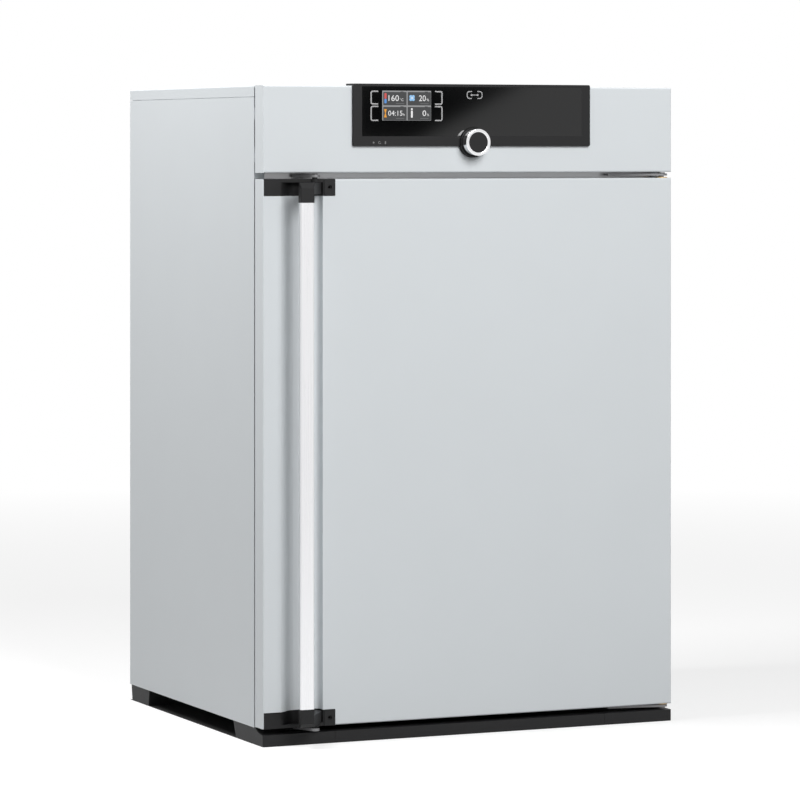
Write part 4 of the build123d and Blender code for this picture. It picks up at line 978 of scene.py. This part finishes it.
def paper_floor():
    """A pale floor that keeps the oven's shadow and fades to white far off, with a painted shadow under the
    oven: a near-black patch placed by position.
    """
    mesh = bpy.data.meshes.new("floor")
    mesh.from_pydata(
        [(-FLOOR_REACH, -FLOOR_REACH, 0.0), (FLOOR_REACH, -FLOOR_REACH, 0.0),
         (FLOOR_REACH, FLOOR_REACH, 0.0), (-FLOOR_REACH, FLOOR_REACH, 0.0)], [], [(0, 1, 2, 3)],
    )
    floor = bpy.data.objects.new("floor", mesh)
    bpy.context.scene.collection.objects.link(floor)
    paper = Finish("studio_paper")
    matt = paper.node("BsdfDiffuse", {}, {"Color": grey(PAPER_TONE)})
    glow = paper.node("Emission", {}, {"Color": WHITE, "Strength": PAPER_GLOW})
    bright = paper.node("AddShader", {}, {0: matt, 1: glow})
    white = paper.node("Emission", {}, {"Color": WHITE, "Strength": 1.0})
    away = paper.node("VectorMath", {"operation": "LENGTH"}, {0: paper.place()}, output="Value")
    fade = paper.node(
        "MapRange", {}, {"Value": away, "From Min": FADE_START, "From Max": FADE_END}
    )
    distant = paper.node("MixShader", {}, {0: fade, 1: bright, 2: white})
    plain = paper.node("BsdfDiffuse", {}, {"Color": grey(PAPER_BOUNCE)})
    # Painted shadow: a near-black floor inside the oven's outline stands in for its contact shadow
    dark = paper.node("BsdfDiffuse", {}, {"Color": grey(PAINTED_SHADOW_TONE)})
    side = paper.axis("X")
    deep = paper.axis("Y")
    (left, _, _), (right, rear, _) = CAD_BOX
    # Where the painted shadow lies: inside the oven's outline, from just behind its front to its rear
    under = (side > left) * (side < right) * (deep > PAINTED_SHADOW_FRONT) * (deep < rear)
    lit_part = paper.node("MixShader", {}, {0: paper.in_view(), 1: plain, 2: distant})
    mixed = paper.node("MixShader", {}, {0: under, 1: lit_part, 2: dark})
    paper.node("OutputMaterial", {}, {"Surface": mixed})
    mesh.materials.append(paper.material)


def white_world(scene, ambient):
    """White where it is seen, and an even, weaker light on the oven."""
    scene.world = bpy.data.worlds.new("studio")
    scene.world.use_nodes = True
    sky = NodeMaker(scene.world.node_tree)
    strength = sky.node("MapRange", {}, {"Value": sky.in_view(), "To Min": ambient, "To Max": 1.0})
    background = sky.node("Background", {}, {"Color": WHITE, "Strength": strength})
    sky.node("OutputWorld", {}, {"Surface": background})


def area_lamp(scene, name, power, place, aim, size):
    """A square lamp turned towards a point."""
    lamp = bpy.data.lights.new(name, "AREA")
    lamp.energy = power
    lamp.size = size
    holder = bpy.data.objects.new(name, lamp)
    holder.location = place
    holder.rotation_euler = (Vector(aim) - Vector(place)).to_track_quat("-Z", "Y").to_euler()
    scene.collection.objects.link(holder)


def photo_camera(scene, lens):
    """A level camera that sees the oven as the photograph does."""
    camera = bpy.data.cameras.new("camera")
    camera.lens = lens
    camera.sensor_width = CAMERA_SENSOR
    camera.shift_y = CAMERA_SHIFT
    camera.clip_end = CAMERA_REACH
    holder = bpy.data.objects.new("camera", camera)
    holder.location = CAMERA_PLACE
    holder.rotation_euler = (math.radians(90), 0.0, math.radians(-CAMERA_TURN))
    scene.collection.objects.link(holder)
    scene.camera = holder


class OVEN_OT_stage(bpy.types.Operator):
    """Make the floor, the lamps, the world and the camera."""

    bl_idname = "oven.stage"
    bl_label = "Set the stage"

    def execute(self, context):
        scene = context.scene
        studio = scene.oven_studio
        scene.view_settings.view_transform = "Standard"
        paper_floor()
        reflection_flag()
        white_world(scene, studio.ambient)
        area_lamp(scene, "side_lamp", studio.side_power, *SIDE_LAMP)
        area_lamp(scene, "front_lamp", studio.front_power, *FRONT_LAMP)
        photo_camera(scene, studio.lens)
        return {"FINISHED"}


class OVEN_PT_panel(bpy.types.Panel):
    """The oven's operators and settings."""

    bl_label = "Drying oven"
    bl_space_type = "VIEW_3D"
    bl_region_type = "UI"
    bl_category = "Oven"

    def draw(self, context):
        for operator in OPERATORS:
            self.layout.operator(operator.bl_idname)
        for group in ("oven_look", "oven_screen", "oven_screws", "oven_studio"):
            box = self.layout.box()
            settings = getattr(context.scene, group)
            for name in settings.__annotations__:
                box.prop(settings, name)


GROUPS = {
    "oven_look": OvenLook, "oven_screen": OvenScreen, "oven_screws": OvenScrews,
    "oven_studio": OvenStudio,
}
OPERATORS = (OVEN_OT_finishes, OVEN_OT_screen, OVEN_OT_marks, OVEN_OT_screws, OVEN_OT_stage)


def register():
    for cls in (*GROUPS.values(), *OPERATORS, OVEN_PT_panel):
        bpy.utils.register_class(cls)
    for name, group in GROUPS.items():
        setattr(bpy.types.Scene, name, PointerProperty(type=group))


def unregister():
    for name in GROUPS:
        delattr(bpy.types.Scene, name)
    for cls in (OVEN_PT_panel, *OPERATORS, *GROUPS.values()):
        bpy.utils.unregister_class(cls)


def main():
    register()
    bpy.ops.oven.finishes()
    bpy.ops.oven.screen()
    bpy.ops.oven.marks()
    bpy.ops.oven.screws()
    bpy.ops.oven.stage()


if __name__ == "__main__":
    main()
